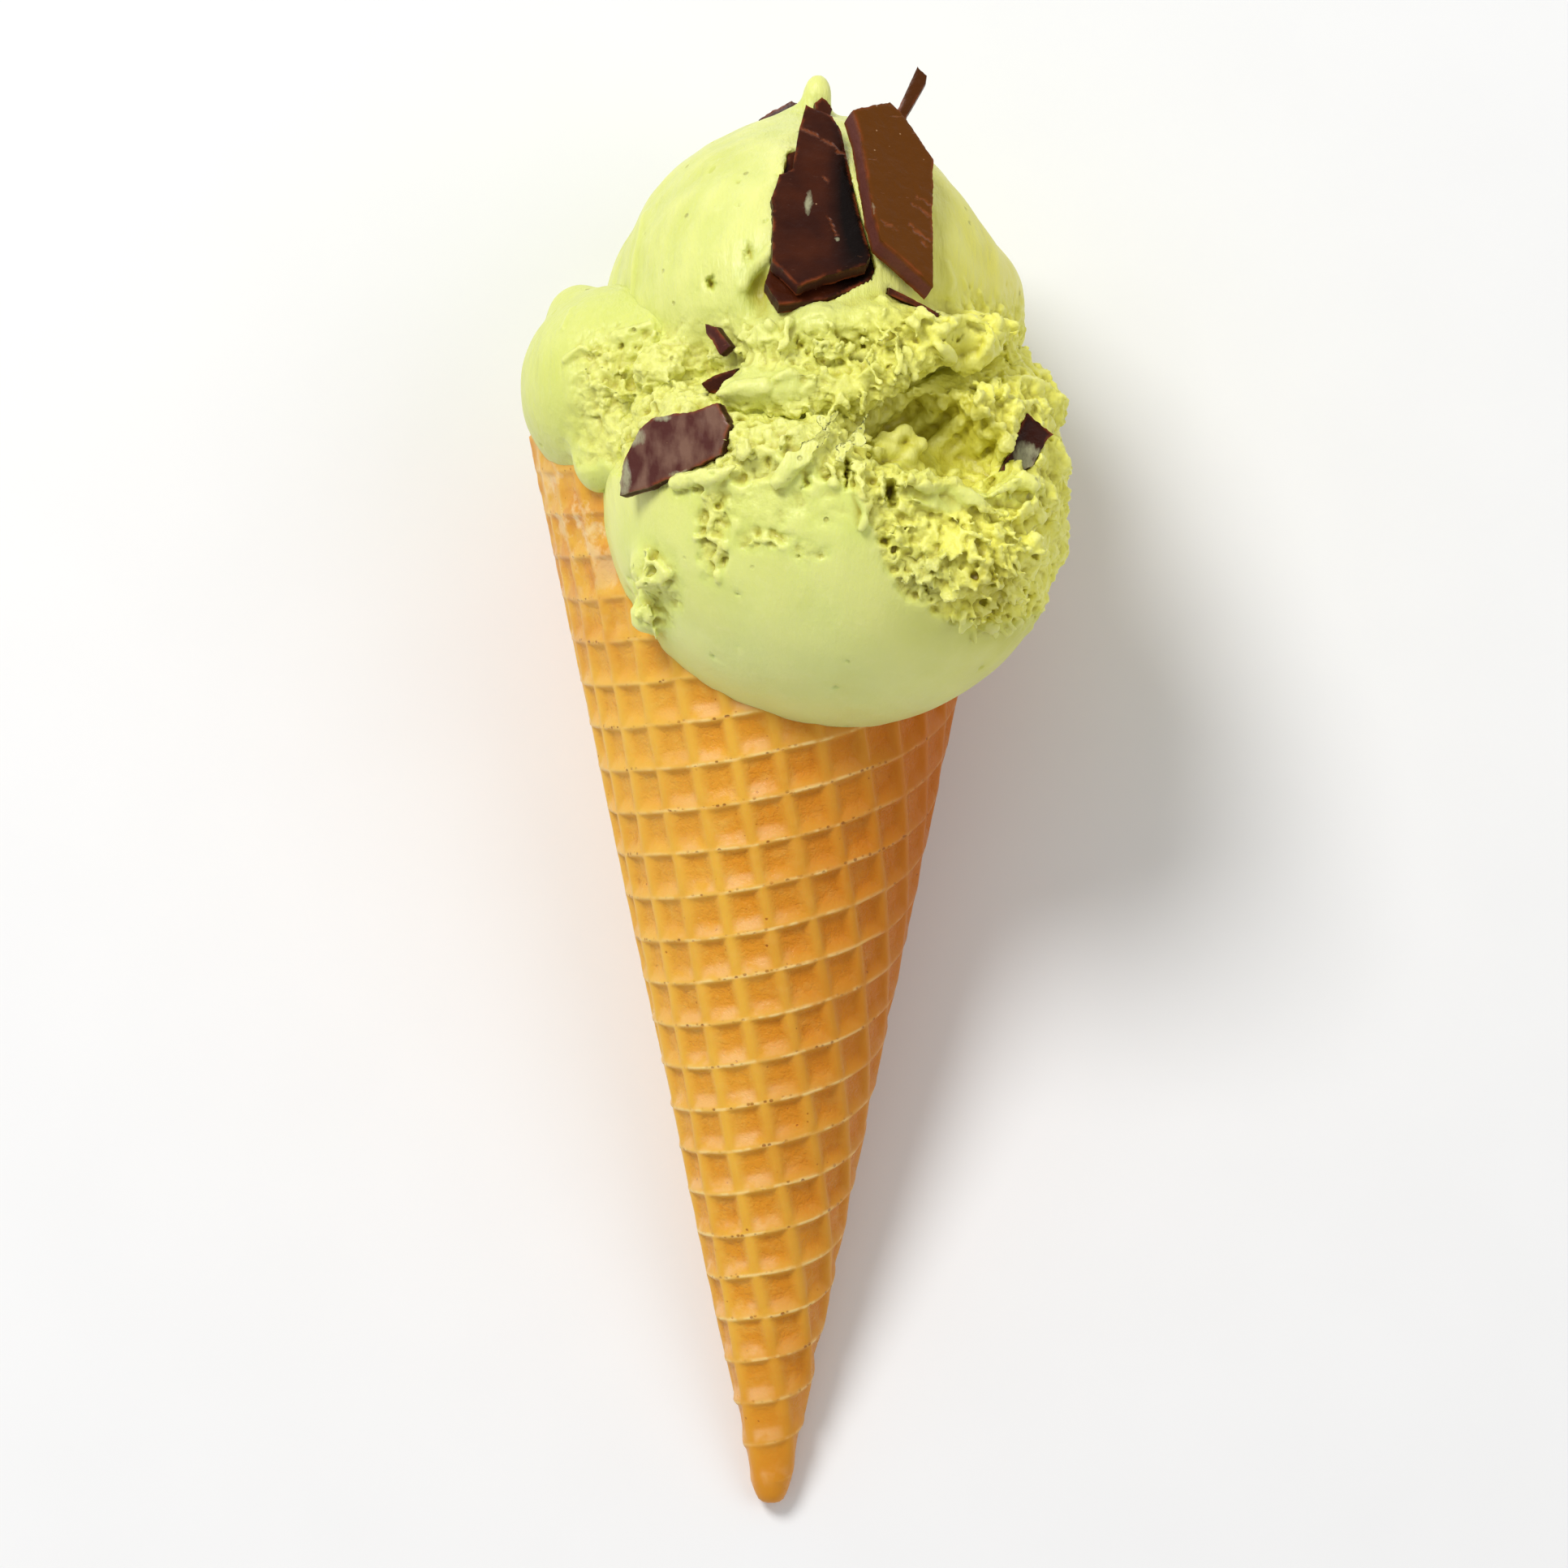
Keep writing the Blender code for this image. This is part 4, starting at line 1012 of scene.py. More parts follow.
# Curls that stand out singly: points across and up with the thickness there, in mm, and how
# far each rises off the surface that carries it; those marked True stand free past their root.
FRONT_STROKES = (
    (((-11.3, 131.4, 1.3), (-8.9, 131.8, 1.6), (-6.5, 132.2, 1.5), (-4.3, 132.9, 1.2)), 0.9),
    (((-7.6, 130.8, 0.8), (-8.1, 129.4, 0.6)), 0.5),
    (((-6.9, 131.2, 1.2), (-7.6, 129, 1.2), (-7.2, 126.6, 1.1), (-7.7, 124.8, 1.2), (-6.1, 123.4, 1.3),
     (-6.9, 121.4, 1), (-6.5, 119.2, 0.6)), 0.2),
    (((-9.2, 124.4, 0.6), (-7.6, 124.8, 0.9)), 0.1),
    (((-2.8, 123.4, 0.5), (-1.1, 124.4, 1), (0.3, 124, 0.9), (1.6, 123, 0.4)), 0.1),
    (((-4.7, 134.6, 1.2), (-1.4, 135, 1.4), (1.1, 134, 1)), 0.4),
    (((0.9, 130.8, 1.1), (2.3, 132.8, 1.6), (4.7, 134.6, 1.5)), 1.2),
    (((4.7, 135.2, 1.4), (6.7, 137.4, 1.1), (7.9, 139.8, 0.6)), 1.4, True),
    (((6.9, 137, 0.9), (6.2, 138.8, 0.4)), 1, True),
    (((8.7, 134.8, 1.4), (10.5, 137, 1.1), (11.8, 139.6, 0.6)), 1.4, True),
    (((10.7, 136.8, 0.8), (10.2, 138.4, 0.35)), 1, True),
    (((12.3, 135.6, 1), (14.7, 137, 1), (16.9, 137.5, 0.9), (18.7, 136.4, 0.6)), 1.2, True),
    (((13.2, 134.2, 1.1), (15.2, 135.2, 1.2), (17, 134.8, 1), (17.8, 133, 0.6)), 1.6, True),
    (((13.4, 135.2, 1.2), (15.6, 136, 1.4), (17.4, 135.6, 1.1)), 1.1, True),
    (((10.9, 132.6, 1.2), (11.5, 130, 1.3), (12.1, 127.2, 0.9), (11.1, 125.4, 0.5)), 0.9),
    (((6.9, 133.4, 1), (7.9, 131, 0.9)), 0.5),
    (((13.6, 131.6, 0.8), (14.1, 128.8, 0.6)), 0.8),
    (((16.3, 131.4, 1.2), (18.7, 130.6, 1.3), (21.3, 130.5, 1.3), (23.8, 129.3, 1.2),
     (26.2, 127.7, 1.1), (28.5, 127.2, 0.8)), 1),
    (((27.3, 129.4, 1), (30.1, 131.2, 1.2), (32.3, 132, 0.8)), 0.8),
    (((30.7, 132.6, 0.8), (31.7, 131.4, 0.9)), 1.2),
    (((31.7, 123.8, 0.8), (33.5, 123, 1)), 0.8),
    (((29.7, 126.6, 0.9), (32.7, 127.8, 1.1), (35.1, 128.6, 0.8)), 0.7),
    (((22.7, 126.6, 0.8), (23.9, 124.2, 0.9), (24.7, 121.6, 0.7)), 0.7),
    (((26.1, 124.6, 0.7), (26.9, 121.6, 0.8), (26.5, 119, 0.6)), 0.6),
    (((31.3, 145, 0.8), (33.5, 144.5, 0.9), (34.5, 143.2, 0.8)), 0.5),
    (((30.3, 141.4, 1.2), (33.1, 141.9, 1.2), (34.3, 140.4, 1)), 0.5),
    (((25.7, 143.6, 1.1), (27.5, 141.8, 1.2), (26.5, 140.2, 0.7)), 1),
    (((29.1, 138.6, 0.8), (29.5, 136, 0.9), (29.1, 134, 0.7)), 0.7),
    (((12.7, 139.4, 0.9), (15.3, 141.2, 1.1), (18.9, 142.6, 1)), 0),
    (((14.9, 136.4, 1), (18.1, 138.8, 1.2), (21.5, 141.6, 1.1)), 0.1),
    (((17.9, 133, 1), (21.1, 136, 1.3), (24.1, 139.4, 1.2)), 0.2),
    (((21.5, 131.2, 0.9), (24.5, 134.2, 1.2), (27.3, 137.8, 1.1)), 0.2),
    (((25.1, 130.2, 0.8), (27.5, 132.8, 1), (29.1, 135.4, 0.8)), 0.2),
    (((-15.5, 123, 0.5), (-15.1, 121.6, 0.8), (-15.7, 120.6, 0.8)), 0.5),
    (((-16.3, 119, 1.1), (-14.3, 119.6, 1.2), (-12.7, 120, 0.9)), 0.7),
    (((-14.3, 121.6, 0.6), (-13.3, 120.6, 0.7)), 0.6),
    (((-16.5, 115.4, 1), (-15.3, 116.2, 0.8), (-15.1, 114.8, 1.1)), 0.6),
    (((-14.9, 114.2, 0.7), (-14.5, 113, 0.4), (-14.3, 112.2, 0.3)), 0.5),
    (((-18.7, 138.6, 0.6), (-18.3, 136.6, 0.8), (-17.9, 134.6, 0.7)), 0.3),
)
# A curl's balls: their spacing and how deep they sit in the skin, in radii, how much the skin
# has to face the front, and from where the places on it are looked for.
BALL_STEP = 0.3
BALL_SUNK = 0.4
FACING_FRONT = -0.25
LOOKED_FROM = -90.0


def front_reach(x, z, oval, ragged=0.0):
    """How far out a place lies in an oval seen from the front: 1 at its edge, or near it."""
    across, up, half_across, half_up = oval
    away = joined_axes(x.tree, (x - across) / half_across, (z - up) / half_up, ragged)
    return away.measure("LENGTH")


def ice_cream_finish():
    """Pale pistachio ice cream, soft and damp: greener where the scoop smoothed it, with painted shade
    in its hollows and painted light on its right side.
    """
    material, tree, shader = new_finish("pistachio_ice_cream_finish", {
        "Specular IOR Level": 0.42, "Subsurface Weight": 0.45,
        "Subsurface Radius": (1.0, 0.95, 0.35), "Subsurface Scale": 0.0004,
    })
    place = object_place(tree)
    torn = own_reading(tree, "torn")
    sunken = own_reading(tree, "sunken")
    across, depth, height = own_reading(tree, "upright", "Vector").axes()

    smooth = torn.ramp(1.0, 0.0)
    patches = place.cloud(0.009, 3.0)
    pale = place.cloud(0.0016, 4.0, 0.6).ramp(0.55, 0.75)
    right_smooth = across.ramp(8.0, 30.0) * smooth * 0.75
    # The cavity under the top scoop, which takes painted shade.
    inner = front_reach(across, height, (20.5, 137.6, 11.0, 6.0)).ramp(1.15, 0.6)
    low_shade = front_reach(across, height, (27.4, 118.4, 3.4, 4.6)).ramp(1.2, 0.5) * torn
    left_shade = front_reach(across, height, (19.4, 119.4, 4.6, 3.4)).ramp(1.2, 0.5) * torn
    pits = place.place("ADD", (0.0211, 0.0107, 0.0013)).spots(0.0024, 0.16, 0.07, 1, 0.16)
    pits = pits * height.ramp(118.0, 126.0)
    colour = layered(
        tree, tinted(tree, torn, srgb(217, 223, 124), srgb(230, 230, 124)),
        (height.ramp(140.0, 130.0) * smooth, (224, 231, 124)),
        (height.ramp(130.0, 106.0) * smooth, (222, 232, 146)),
        (patches.ramp(0.45, 0.7) * 0.35, (238, 240, 152)),
        (patches.ramp(0.48, 0.3) * 0.3, (206, 210, 96)),
        (pale * 0.25, (244, 244, 176)),
        # Painted light: the torn right side lighter and yellower.
        (across.ramp(4.0, 26.0) * torn * 0.65, (246, 240, 98)),
        # Painted light: the smooth right side lighter above the middle.
        (right_smooth * height.ramp(130.0, 145.0), (242, 230, 74)),
        # Painted shade: the smooth right side darker below the middle.
        (right_smooth * height.ramp(130.0, 120.0), (202, 198, 58)),
        (across.ramp(-3.0, -20.0) * smooth * 0.4, (216, 222, 112)),
        # Painted shade: a darker olive deep in the cavity.
        (inner * depth.ramp(-46.6, -45.0) * 0.6, (196, 186, 40)),
        (low_shade * 0.5, (186, 176, 44)),
        (left_shade * 0.45, (198, 200, 124)),
        # Painted shade in the small pits, which the relief also sinks.
        (pits * 0.55, (168, 158, 62)),
        # Painted shade in hollows and crevices, darkest where deepest; painted light on the rises.
        (sunken.ramp(0.04, 0.34) * 0.75, (176, 164, 24)),
        (sunken.ramp(0.3, 0.7) * 0.7, (104, 74, 8)),
        (sunken.ramp(-0.05, -0.3) * 0.4, (246, 245, 158)),
    )
    gloss = place.cloud(0.004, 3.0).ramp(0.3, 0.7, 0.34, 0.5)
    streaked = place.place("MULTIPLY", (1.0, 0.22, 0.6))
    streaks = streaked.cloud(0.0016, 4.0, 0.6) * height.ramp(112.0, 150.0, 0.6, 2.4)
    fine = place.cloud(0.0006, 3.0, 0.6)
    relief = fine * torn.ramp(0.0, 1.0, 0.2, 0.9) + streaks * torn.ramp(0.0, 1.0, 1.0, 0.4)
    dress(tree, shader, colour, gloss, relief - pits * 1.2, 0.0002)
    return material


def crumb_mesh(length, thick, bend, flat):
    """A torn finger of ice cream, in mm, standing on its thick end."""
    rings, sides = 6, 7
    points, faces = [], []
    for k in range(rings):
        share = k / (rings - 1)
        angle = bend * share
        across = length / bend * (1 - math.cos(angle))
        up = length / bend * math.sin(angle)
        radius = thick * (0.35 + 0.65 * math.sin(math.pi * (0.15 + 0.65 * share)))
        for n in range(sides):
            turn = math.tau * n / sides
            out = radius * flat * math.cos(turn)
            side, rise = out * math.cos(angle), out * math.sin(angle)
            points.append((across + side, radius * math.sin(turn), up - rise))
    for k in range(rings - 1):
        for n in range(sides):
            here, there = k * sides + n, k * sides + (n + 1) % sides
            faces.append((here, there, there + sides, here + sides))
    faces.append(tuple(reversed(range(sides))))
    faces.append(tuple(range((rings - 1) * sides, rings * sides)))
    mesh = bpy.data.meshes.new("crumb")
    mesh.from_pydata(points, [], faces)
    return mesh


def blob_distance(place, blob):
    """How far a place lies outside one blob, near enough."""
    offset = place.place("SUBTRACT", blob[:3])
    scaled = offset.place("DIVIDE", blob[3:]).measure("LENGTH")
    steep = offset.place("DIVIDE", [radius * radius for radius in blob[3:]]).measure("LENGTH")
    return scaled * (scaled - 1.0) / (steep + 1e-6)


def packed_scoop(name, blobs, hollows, pressed):
    """A tree that fills the space of the blobs, less the hollows, and gives its surface."""
    tree, given, place = geometry_tree(name, {"Fillet": FILLET})
    fillet = given["Fillet"]
    distance = blob_distance(place, blobs[0])
    if pressed:
        _, depth, height = place.axes()
        limit = (depth - PRESSED_CREST[0]) * PRESSED_SLOPE + PRESSED_CREST[1]
        over = (height - limit) / math.hypot(1, PRESSED_SLOPE)
        distance = distance.math("SMOOTH_MAX", over, fillet)
    for blob in blobs[1:]:
        distance = distance.math("SMOOTH_MIN", blob_distance(place, blob), fillet)
    for hollow in hollows:
        outside = blob_distance(place, hollow) * -1.0
        distance = distance.math("SMOOTH_MAX", outside, fillet)
    middles, radii = np.array(blobs)[:, :3], np.array(blobs)[:, 3:]
    low = (middles - radii).min(axis=0) - 2.0
    high = (middles + radii).max(axis=0) + 2.0
    inputs = {f"Resolution {axis}": int(side / GRAIN) for axis, side in zip("XYZ", high - low)}
    inputs |= {
        "Density": distance * -1.0, "Background": -1.0, "Min": tuple(low), "Max": tuple(high),
    }
    filled = node_reading(tree, "GeometryNodeVolumeCube", inputs=inputs)
    inputs = {"Volume": filled, "Threshold": 0.0}
    skin = node_reading(tree, "GeometryNodeVolumeToMesh", inputs=inputs)
    return end_tree(tree, skin, cream)


def torn_share(tree, place):
    """1 where the ice cream is torn and flaky, 0 on the bowl and the smoothed back."""
    x, y, z = place.axes()
    low_x, high_x = TORN_EDGE[0][0], TORN_EDGE[-1][0]
    low_z, high_z = EDGE_BETWEEN
    curve = tree.nodes.new("ShaderNodeFloatCurve")
    knots = curve.mapping.curves[0].points
    while len(knots) < len(TORN_EDGE):
        knots.new(0.5, 0.5)
    for knot, (across, up) in zip(knots, TORN_EDGE):
        knot.location = ((across - low_x) / (high_x - low_x), (up - low_z) / (high_z - low_z))
        knot.handle_type = "VECTOR"
    curve.mapping.update()
    x.ramp(low_x, high_x).into(curve.inputs["Value"])
    edge = Reading(tree, curve.outputs[0]) * (high_z - low_z) + low_z
    wander = (place.cloud(2.5, 2.0) - 0.5) * 3.0
    over_bowl = (z - edge + wander).ramp(0.0, 1.2)
    smooth_from = (x - 4.0).math("MAXIMUM", 0.0) * 0.15 + TORN_UP_TO
    under_top = (smooth_from - z + wander).ramp(0.0, 6.0)
    near_x, _, near_z = place.place("ADD", place.drift(2.2, 2.0).times(3.0)).axes()
    for *oval, amount in TORN_PATCHES:
        patch = front_reach(near_x, near_z, oval).ramp(1.15, 0.65, 0.0, amount)
        over_bowl = over_bowl.math("MAXIMUM", patch)
    in_front = (y * -1.0 + TORN_BACK_TO).ramp(0.0, 14.0)
    right_of_lobe = (x + TORN_LEFT_TO + wander).ramp(0.0, 5.0)
    share = over_bowl * under_top * in_front * right_of_lobe
    for *oval, amount in SMOOTHER:
        patch = front_reach(near_x, near_z, oval).ramp(1.15, 0.65, 0.0, amount)
        share = share * (patch * -1.0 + 1.0)
    return share


def patch_share(place, patches):
    """How thickly the patches are strewn at a place; each is an oval seen from the front."""
    x, y, z = place.place("ADD", place.drift(4.0, 2.0).times(5.0)).axes()
    in_front = (y * -1.0 - 4.0).ramp(0.0, 6.0)
    share = in_front * 0.0
    for *oval, amount in patches:
        share = share.math("MAXIMUM", front_reach(x, z, oval).ramp(1.05, 0.8, 0.0, amount))
    return share * in_front


def random_value(tree, low, high, seed, kind="FLOAT"):
    node = tree.nodes.new("FunctionNodeRandomValue")
    node.data_type = kind
    shown = [socket for socket in node.inputs if socket.enabled]
    shown[0].default_value = low
    shown[1].default_value = high
    set_input(shown[-1], seed)
    return Reading(tree, next(output for output in node.outputs if output.enabled))


def strewn(tree, skin, share, spacing, lean, sunk, seed, shapes, combed_from=None):
    """Torn pieces set on a skin, combed away from a place, or each group its own way."""
    inputs = {
        "Mesh": skin, "Distance Min": spacing, "Density Max": 3.0,
        "Density Factor": share, "Seed": seed,
    }
    kind = "GeometryNodeDistributePointsOnFaces"
    points = node_reading(tree, kind, "Points", distribute_method="POISSON", inputs=inputs)
    facing = Reading(tree, points.socket.node.outputs["Normal"])
    place = node_reading(tree, "GeometryNodeInputPosition")
    combed = place.drift(5.0, 1.0)
    loose = random_value(tree, (-1, -1, -1), (1, 1, 1), seed + 1.0, "FLOAT_VECTOR")
    if combed_from:
        away = place.place("SUBTRACT", combed_from).place("NORMALIZE")
        along = away.place("SUBTRACT", facing.times(away.measure("DOT_PRODUCT", facing)))
        along = along.place("NORMALIZE")
        towards = facing.times(0.22).place("ADD", along).place("ADD", combed.times(0.7))
        towards = towards.place("ADD", loose.times(0.3)).place("NORMALIZE")
    else:
        towards = facing.place("ADD", combed.times(lean * 4.0))
        towards = towards.place("ADD", loose.times(lean * 0.5)).place("NORMALIZE")
    spin = joined_axes(tree, 0.0, 0.0, random_value(tree, 0.0, math.tau, seed + 2.0))
    kind = "FunctionNodeAlignRotationToVector"
    turned = node_reading(tree, kind, inputs={"Vector": towards}, axis="Z")
    inputs = {"Rotation": turned, "Rotate By": spin}
    kind = "FunctionNodeRotateRotation"
    turned = node_reading(tree, kind, inputs=inputs, rotation_space="LOCAL")
    inputs = {"Collection": shapes, "Separate Children": True, "Reset Children": True}
    picked = node_reading(tree, "GeometryNodeCollectionInfo", inputs=inputs)
    size = random_value(tree, 0.0, 1.0, seed + 3.0).math("POWER", 1.6).ramp(0.0, 1.0, 0.75, 1.3)
    last = len(shapes.objects) - 1
    inputs = {
        "Points": moved(tree, points, facing.times(sunk * -1.0)), "Instance": picked,
        "Pick Instance": True, "Rotation": turned, "Scale": size,
        "Instance Index": random_value(tree, 0, last, seed + 4.0, "INT"),
    }
    placed = node_reading(tree, "GeometryNodeInstanceOnPoints", inputs=inputs)
    return node_reading(tree, "GeometryNodeRealizeInstances", inputs={0: placed})


def torn_open(name, sizes, flakes, curls, folds, combed_from):
    """A tree that lumps and creases the torn part and strews torn flakes and curls over it."""
    tree, given, place = geometry_tree(name, sizes)
    normal = node_reading(tree, "GeometryNodeInputNormal")
    torn = torn_share(tree, place)
    seeded = place.place("ADD", joined_axes(tree, given["Seed"] * 13.0, 0.0, 0.0))

    def sized(size):
        return seeded.place("DIVIDE", joined_axes(tree, *[given[size]] * 3))

    lumps = (sized("Lump Size").cloud(1.0, 2.0) - 0.5) * given["Lump Height"] * 2.0
    creases = (sized("Crease Size").cloud(1.0, 2.0) - 0.5).math("ABSOLUTE")
    creases = creases.ramp(0.0, 0.16, 1.0, 0.0) * given["Crease Depth"]
    dents = seeded.place("MULTIPLY", (1.0, 1.0, 0.6)).cloud(7.0, 1.0) - 0.5
    rightwards = place.axes()[0].ramp(20.0, 30.0)
    chunks = (sized("Chunk Size").cells(1.0) * -1.0 + 0.45) * given["Chunk Height"]
    height = lumps - creases + (chunks + lumps * 0.5) * rightwards
    height = height * torn + dents * given["Dent Height"]
    x, _, z = place.place("ADD", seeded.cloud(3.0, 2.0, output=1).times(4.0)).axes()
    for oval, (step_x, step_z), width, rise in folds:
        folded = ((x * step_x + z * step_z) * (math.pi / width)).math("SINE").math("ABSOLUTE")
        height = height + folded * rise * patch_share(place, (oval,))
    skin = moved(tree, given["Geometry"], normal.times(height))
    towards_front = (normal.axes()[1] * -1.0).ramp(0.2, 0.5) * torn
    join = tree.nodes.new("GeometryNodeJoinGeometry")
    skin.into(join.inputs[0])
    if flakes:
        strewn(
            tree, skin, patch_share(place, flakes) * towards_front, given["Flake Spacing"], 1.0,
            given["Flake Sunk"], given["Seed"], flake_box, combed_from,
        ).into(join.inputs[0])
    strewn(
        tree, skin, patch_share(place, curls) * towards_front, given["Curl Spacing"],
        given["Curl Lean"], given["Curl Sunk"], given["Seed"] + 20.0, curl_box,
    ).into(join.inputs[0])
    return end_tree(tree, Reading(tree, join.outputs[0]), cream)


def torn_finely(name, sizes, holes):
    """A tree that opens small pits and a fine grain in the torn part, and the named holes."""
    tree, given, place = geometry_tree(name, sizes)
    normal = node_reading(tree, "GeometryNodeInputNormal")
    torn = torn_share(tree, place)
    warped = place.place("ADD", place.drift(1.6, 2.0).times(1.3))
    shifted = warped.place("ADD", joined_axes(tree, given["Seed"] * 21.0, 0.0, 0.0))
    scaled = shifted.place("DIVIDE", joined_axes(tree, *[given["Pit Spacing"]] * 3))
    pit = scaled.cells(1.0).ramp(0.34, 0.12, bend="SMOOTHSTEP")
    clustered = place.cloud(6.5, 1.0).ramp(0.42, 0.56, 0.3, 1.0)
    chosen = torn.ramp(0.0, 1.0, 0.05, 0.45) * clustered - scaled.cells(1.0, 1).axes()[0]
    pits = pit * chosen.ramp(0.0, 0.01) * given["Pit Depth"] * torn.ramp(0.0, 1.0, 0.4, 1.0)
    crease_place = warped.place("DIVIDE", joined_axes(tree, *[given["Fine Crease Size"]] * 3))
    creases = (crease_place.cloud(1.0, 1.0) - 0.5).math("ABSOLUTE").ramp(0.0, 0.1, 1.0, 0.0)
    crumbly = place.cloud(6.0, 1.0).ramp(0.36, 0.56, 0.25, 1.0)
    crumbly = crumbly.math("MAXIMUM", place.axes()[0].ramp(18.0, 26.0, 0.0, 0.6))
    creases = creases * given["Fine Crease Depth"] * crumbly
    grain = warped.cloud(0.9, 3.0, 0.6) - 0.5
    depth = (grain * given["Grain Depth"] * 2.0 - creases) * torn - pits
    x, y, z = warped.place("ADD", place.drift(0.8, 3.0, 0.6).times(1.2)).axes()
    hole = x * 0.0
    for *oval, deep in holes:
        sunk = front_reach(x, z, oval, grain).ramp(1.2, 0.1, 0.0, deep * 1.2)
        hole = hole.math("MAXIMUM", sunk)
    hole = hole * (y * -1.0 - 20.0).ramp(0.0, 4.0)
    offset = normal.times(depth).place("ADD", joined_axes(tree, 0.0, hole, 0.0))
    return end_tree(tree, moved(tree, given["Geometry"], offset), cream)


def marked(name):
    """A tree that stores what the finish reads: the torn share and the upright place."""
    tree, given, place = geometry_tree(name, {})
    made = stored(tree, given["Geometry"], "torn", torn_share(tree, place))
    made = stored(tree, made, "upright", place, "FLOAT_VECTOR")
    return end_tree(tree, made, cream)


def shape_box(name, shapes):
    """The torn shapes, kept out of the scene, for a tree to strew."""
    box = bpy.data.collections.new(name)
    for number, shape in enumerate(shapes):
        box.objects.link(bpy.data.objects.new(f"{name}_{number}", crumb_mesh(*shape)))
    return box


def curls_added(mesh, strokes):
    """Adds single curls, each a row of balls along its line, resting on the skin or free of it."""
    ball = bmesh.new()
    bmesh.ops.create_icosphere(ball, subdivisions=2, radius=1.0)
    ball_points = np.array([vert.co for vert in ball.verts])
    ball_faces = np.array([[vert.index for vert in face.verts] for face in ball.faces])
    ball.free()
    grown = bmesh.new()
    grown.from_mesh(mesh)
    skin = BVHTree.FromBMesh(grown)
    backwards = Vector((0.0, 1.0, 0.0))
    points, faces = [], []
    for knots, lift, *free in strokes:
        root = None
        for start, end in zip(knots, knots[1:]):
            apart = math.hypot(end[0] - start[0], end[1] - start[1])
            steps = max(2, round(apart / (BALL_STEP * min(start[2], end[2]))))
            for share in np.linspace(0, 1, steps + 1):
                x, z, radius = (a + (b - a) * share for a, b in zip(start, end))
                spot, normal, *_ = skin.ray_cast(Vector((x, LOOKED_FROM, z)), backwards)
                if free and root:
                    middle = np.array((x, root, z))
                elif spot is None or normal.y > FACING_FRONT:
                    continue
                else:
                    middle = np.array(spot + normal * (lift - radius * BALL_SUNK))
                    root = middle[1]
                faces.append(ball_faces + len(points) * len(ball_points))
                points.append(middle + ball_points * radius)
    added = bpy.data.meshes.new("single_curls")
    added.from_pydata(np.concatenate(points), [], np.concatenate(faces).tolist())
    grown.from_mesh(added)
    grown.to_mesh(mesh)
    grown.free()


def sunken_marked(mesh, rounds=12):
    """Stores how deep each point lies below the skin around it, in mm, less above it, for the finish
    to paint shade in the hollows and light on the rises.
    """
    count = len(mesh.vertices)
    places = rows_of(mesh.vertices, "co").astype(np.float64)
    normals = rows_of(mesh.vertex_normals, "vector")
    ends = rows_of(mesh.edges, "vertices", 2, np.int32)
    here, there = np.concatenate((ends, ends[:, ::-1])).T
    many = np.maximum(np.bincount(here, minlength=count), 1)

    def averaged(values):
        return np.bincount(here, weights=values[there], minlength=count) / many

    eased = places.copy()
    for _ in range(rounds):
        eased = np.stack([averaged(eased[:, axis]) for axis in range(3)], axis=1)
    sunken = ((eased - places) * normals).sum(axis=1)
    sunken = (sunken + averaged(sunken)) / 2
    mesh.attributes.new("sunken", "FLOAT", "POINT").data.foreach_set("value", sunken)


def room_for_shards(mesh):
    """Sinks the ice cream in front of each plate into it, so that its face lies open."""
    places = rows_of(mesh.vertices, "co").astype(np.float64)
    for name in SHARDS:
        if name in STICKING_OUT:
            continue
        outline, thickness, lean, turn, place = shard_shape(name)
        middle, axes = np.array(place)[:3, 3], np.array(place)[:3, :3]
        local = (places - middle) @ axes
        near = (np.abs(local[:, :2]) < PLATE_REACH).all(axis=1)
        near &= (local[:, 2] > SUNK_TO * thickness) & (local[:, 2] < OPEN_BEFORE)
        spots = np.nonzero(near)[0]
        x, up = from_front(local[spots, 0], local[spots, 1], lean, turn)
        open_face = inside_outline(local[spots], outline)
        for across, high, half_across, half_up in LAPPED.get(name, ()):
            open_face &= ((x - across) / half_across) ** 2 + ((up - high) / half_up) ** 2 >= 1
        under = spots[open_face]
        local[under, 2] = SUNK_TO * thickness
        places[under] = local[under] @ axes.T + middle
    put_points(mesh, places)


curl_box = shape_box("torn_curls", CURL_SHAPES)
flake_box = shape_box("torn_flakes", FLAKE_SHAPES)
cream = ice_cream_finish()


def make_scoop(name, node, blobs, hollows, crags, strewing, strokes, holes=(), pressed=False):
    """One scoop: packed, torn, fused into one skin, pitted and laid in its place."""
    scoop = new_object(name, bpy.data.meshes.new(name))
    add_tree(scoop, packed_scoop(f"{name}_packed", blobs, hollows, pressed), {"Fillet": FILLET})
    curls_added(made_plain(scoop), strokes)
    add_tree(scoop, torn_open(f"{name}_open", crags, *strewing), crags)
    fused = scoop.modifiers.new("fused", "REMESH")
    fused.mode = "VOXEL"
    fused.voxel_size = FUSED
    eased = scoop.modifiers.new("eased", "SMOOTH")
    eased.factor = 0.5
    eased.iterations = 1
    add_tree(scoop, torn_finely(f"{name}_pitted", TEARS, holes), TEARS)
    mesh = made_plain(scoop)
    room_for_shards(mesh)
    triangles = sum(len(face.vertices) - 2 for face in mesh.polygons)
    thinned = scoop.modifiers.new("thinned", "DECIMATE")
    thinned.ratio = min(1.0, MOST_TRIANGLES / triangles)
    add_tree(scoop, marked(f"{name}_marks"), {})
    sunken_marked(made_plain(scoop))
    lay_down(scoop)
    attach(scoop, "root")
    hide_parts(node)


make_scoop(
    "scoop_front_torn", "scoop_front", FRONT_BLOBS, FRONT_HOLLOWS, CRAGS,
    (FRONT_FLAKES, FRONT_CURLS, FOLDS, FLAKES_FROM), FRONT_STROKES, FRONT_PITS, pressed=True,
)


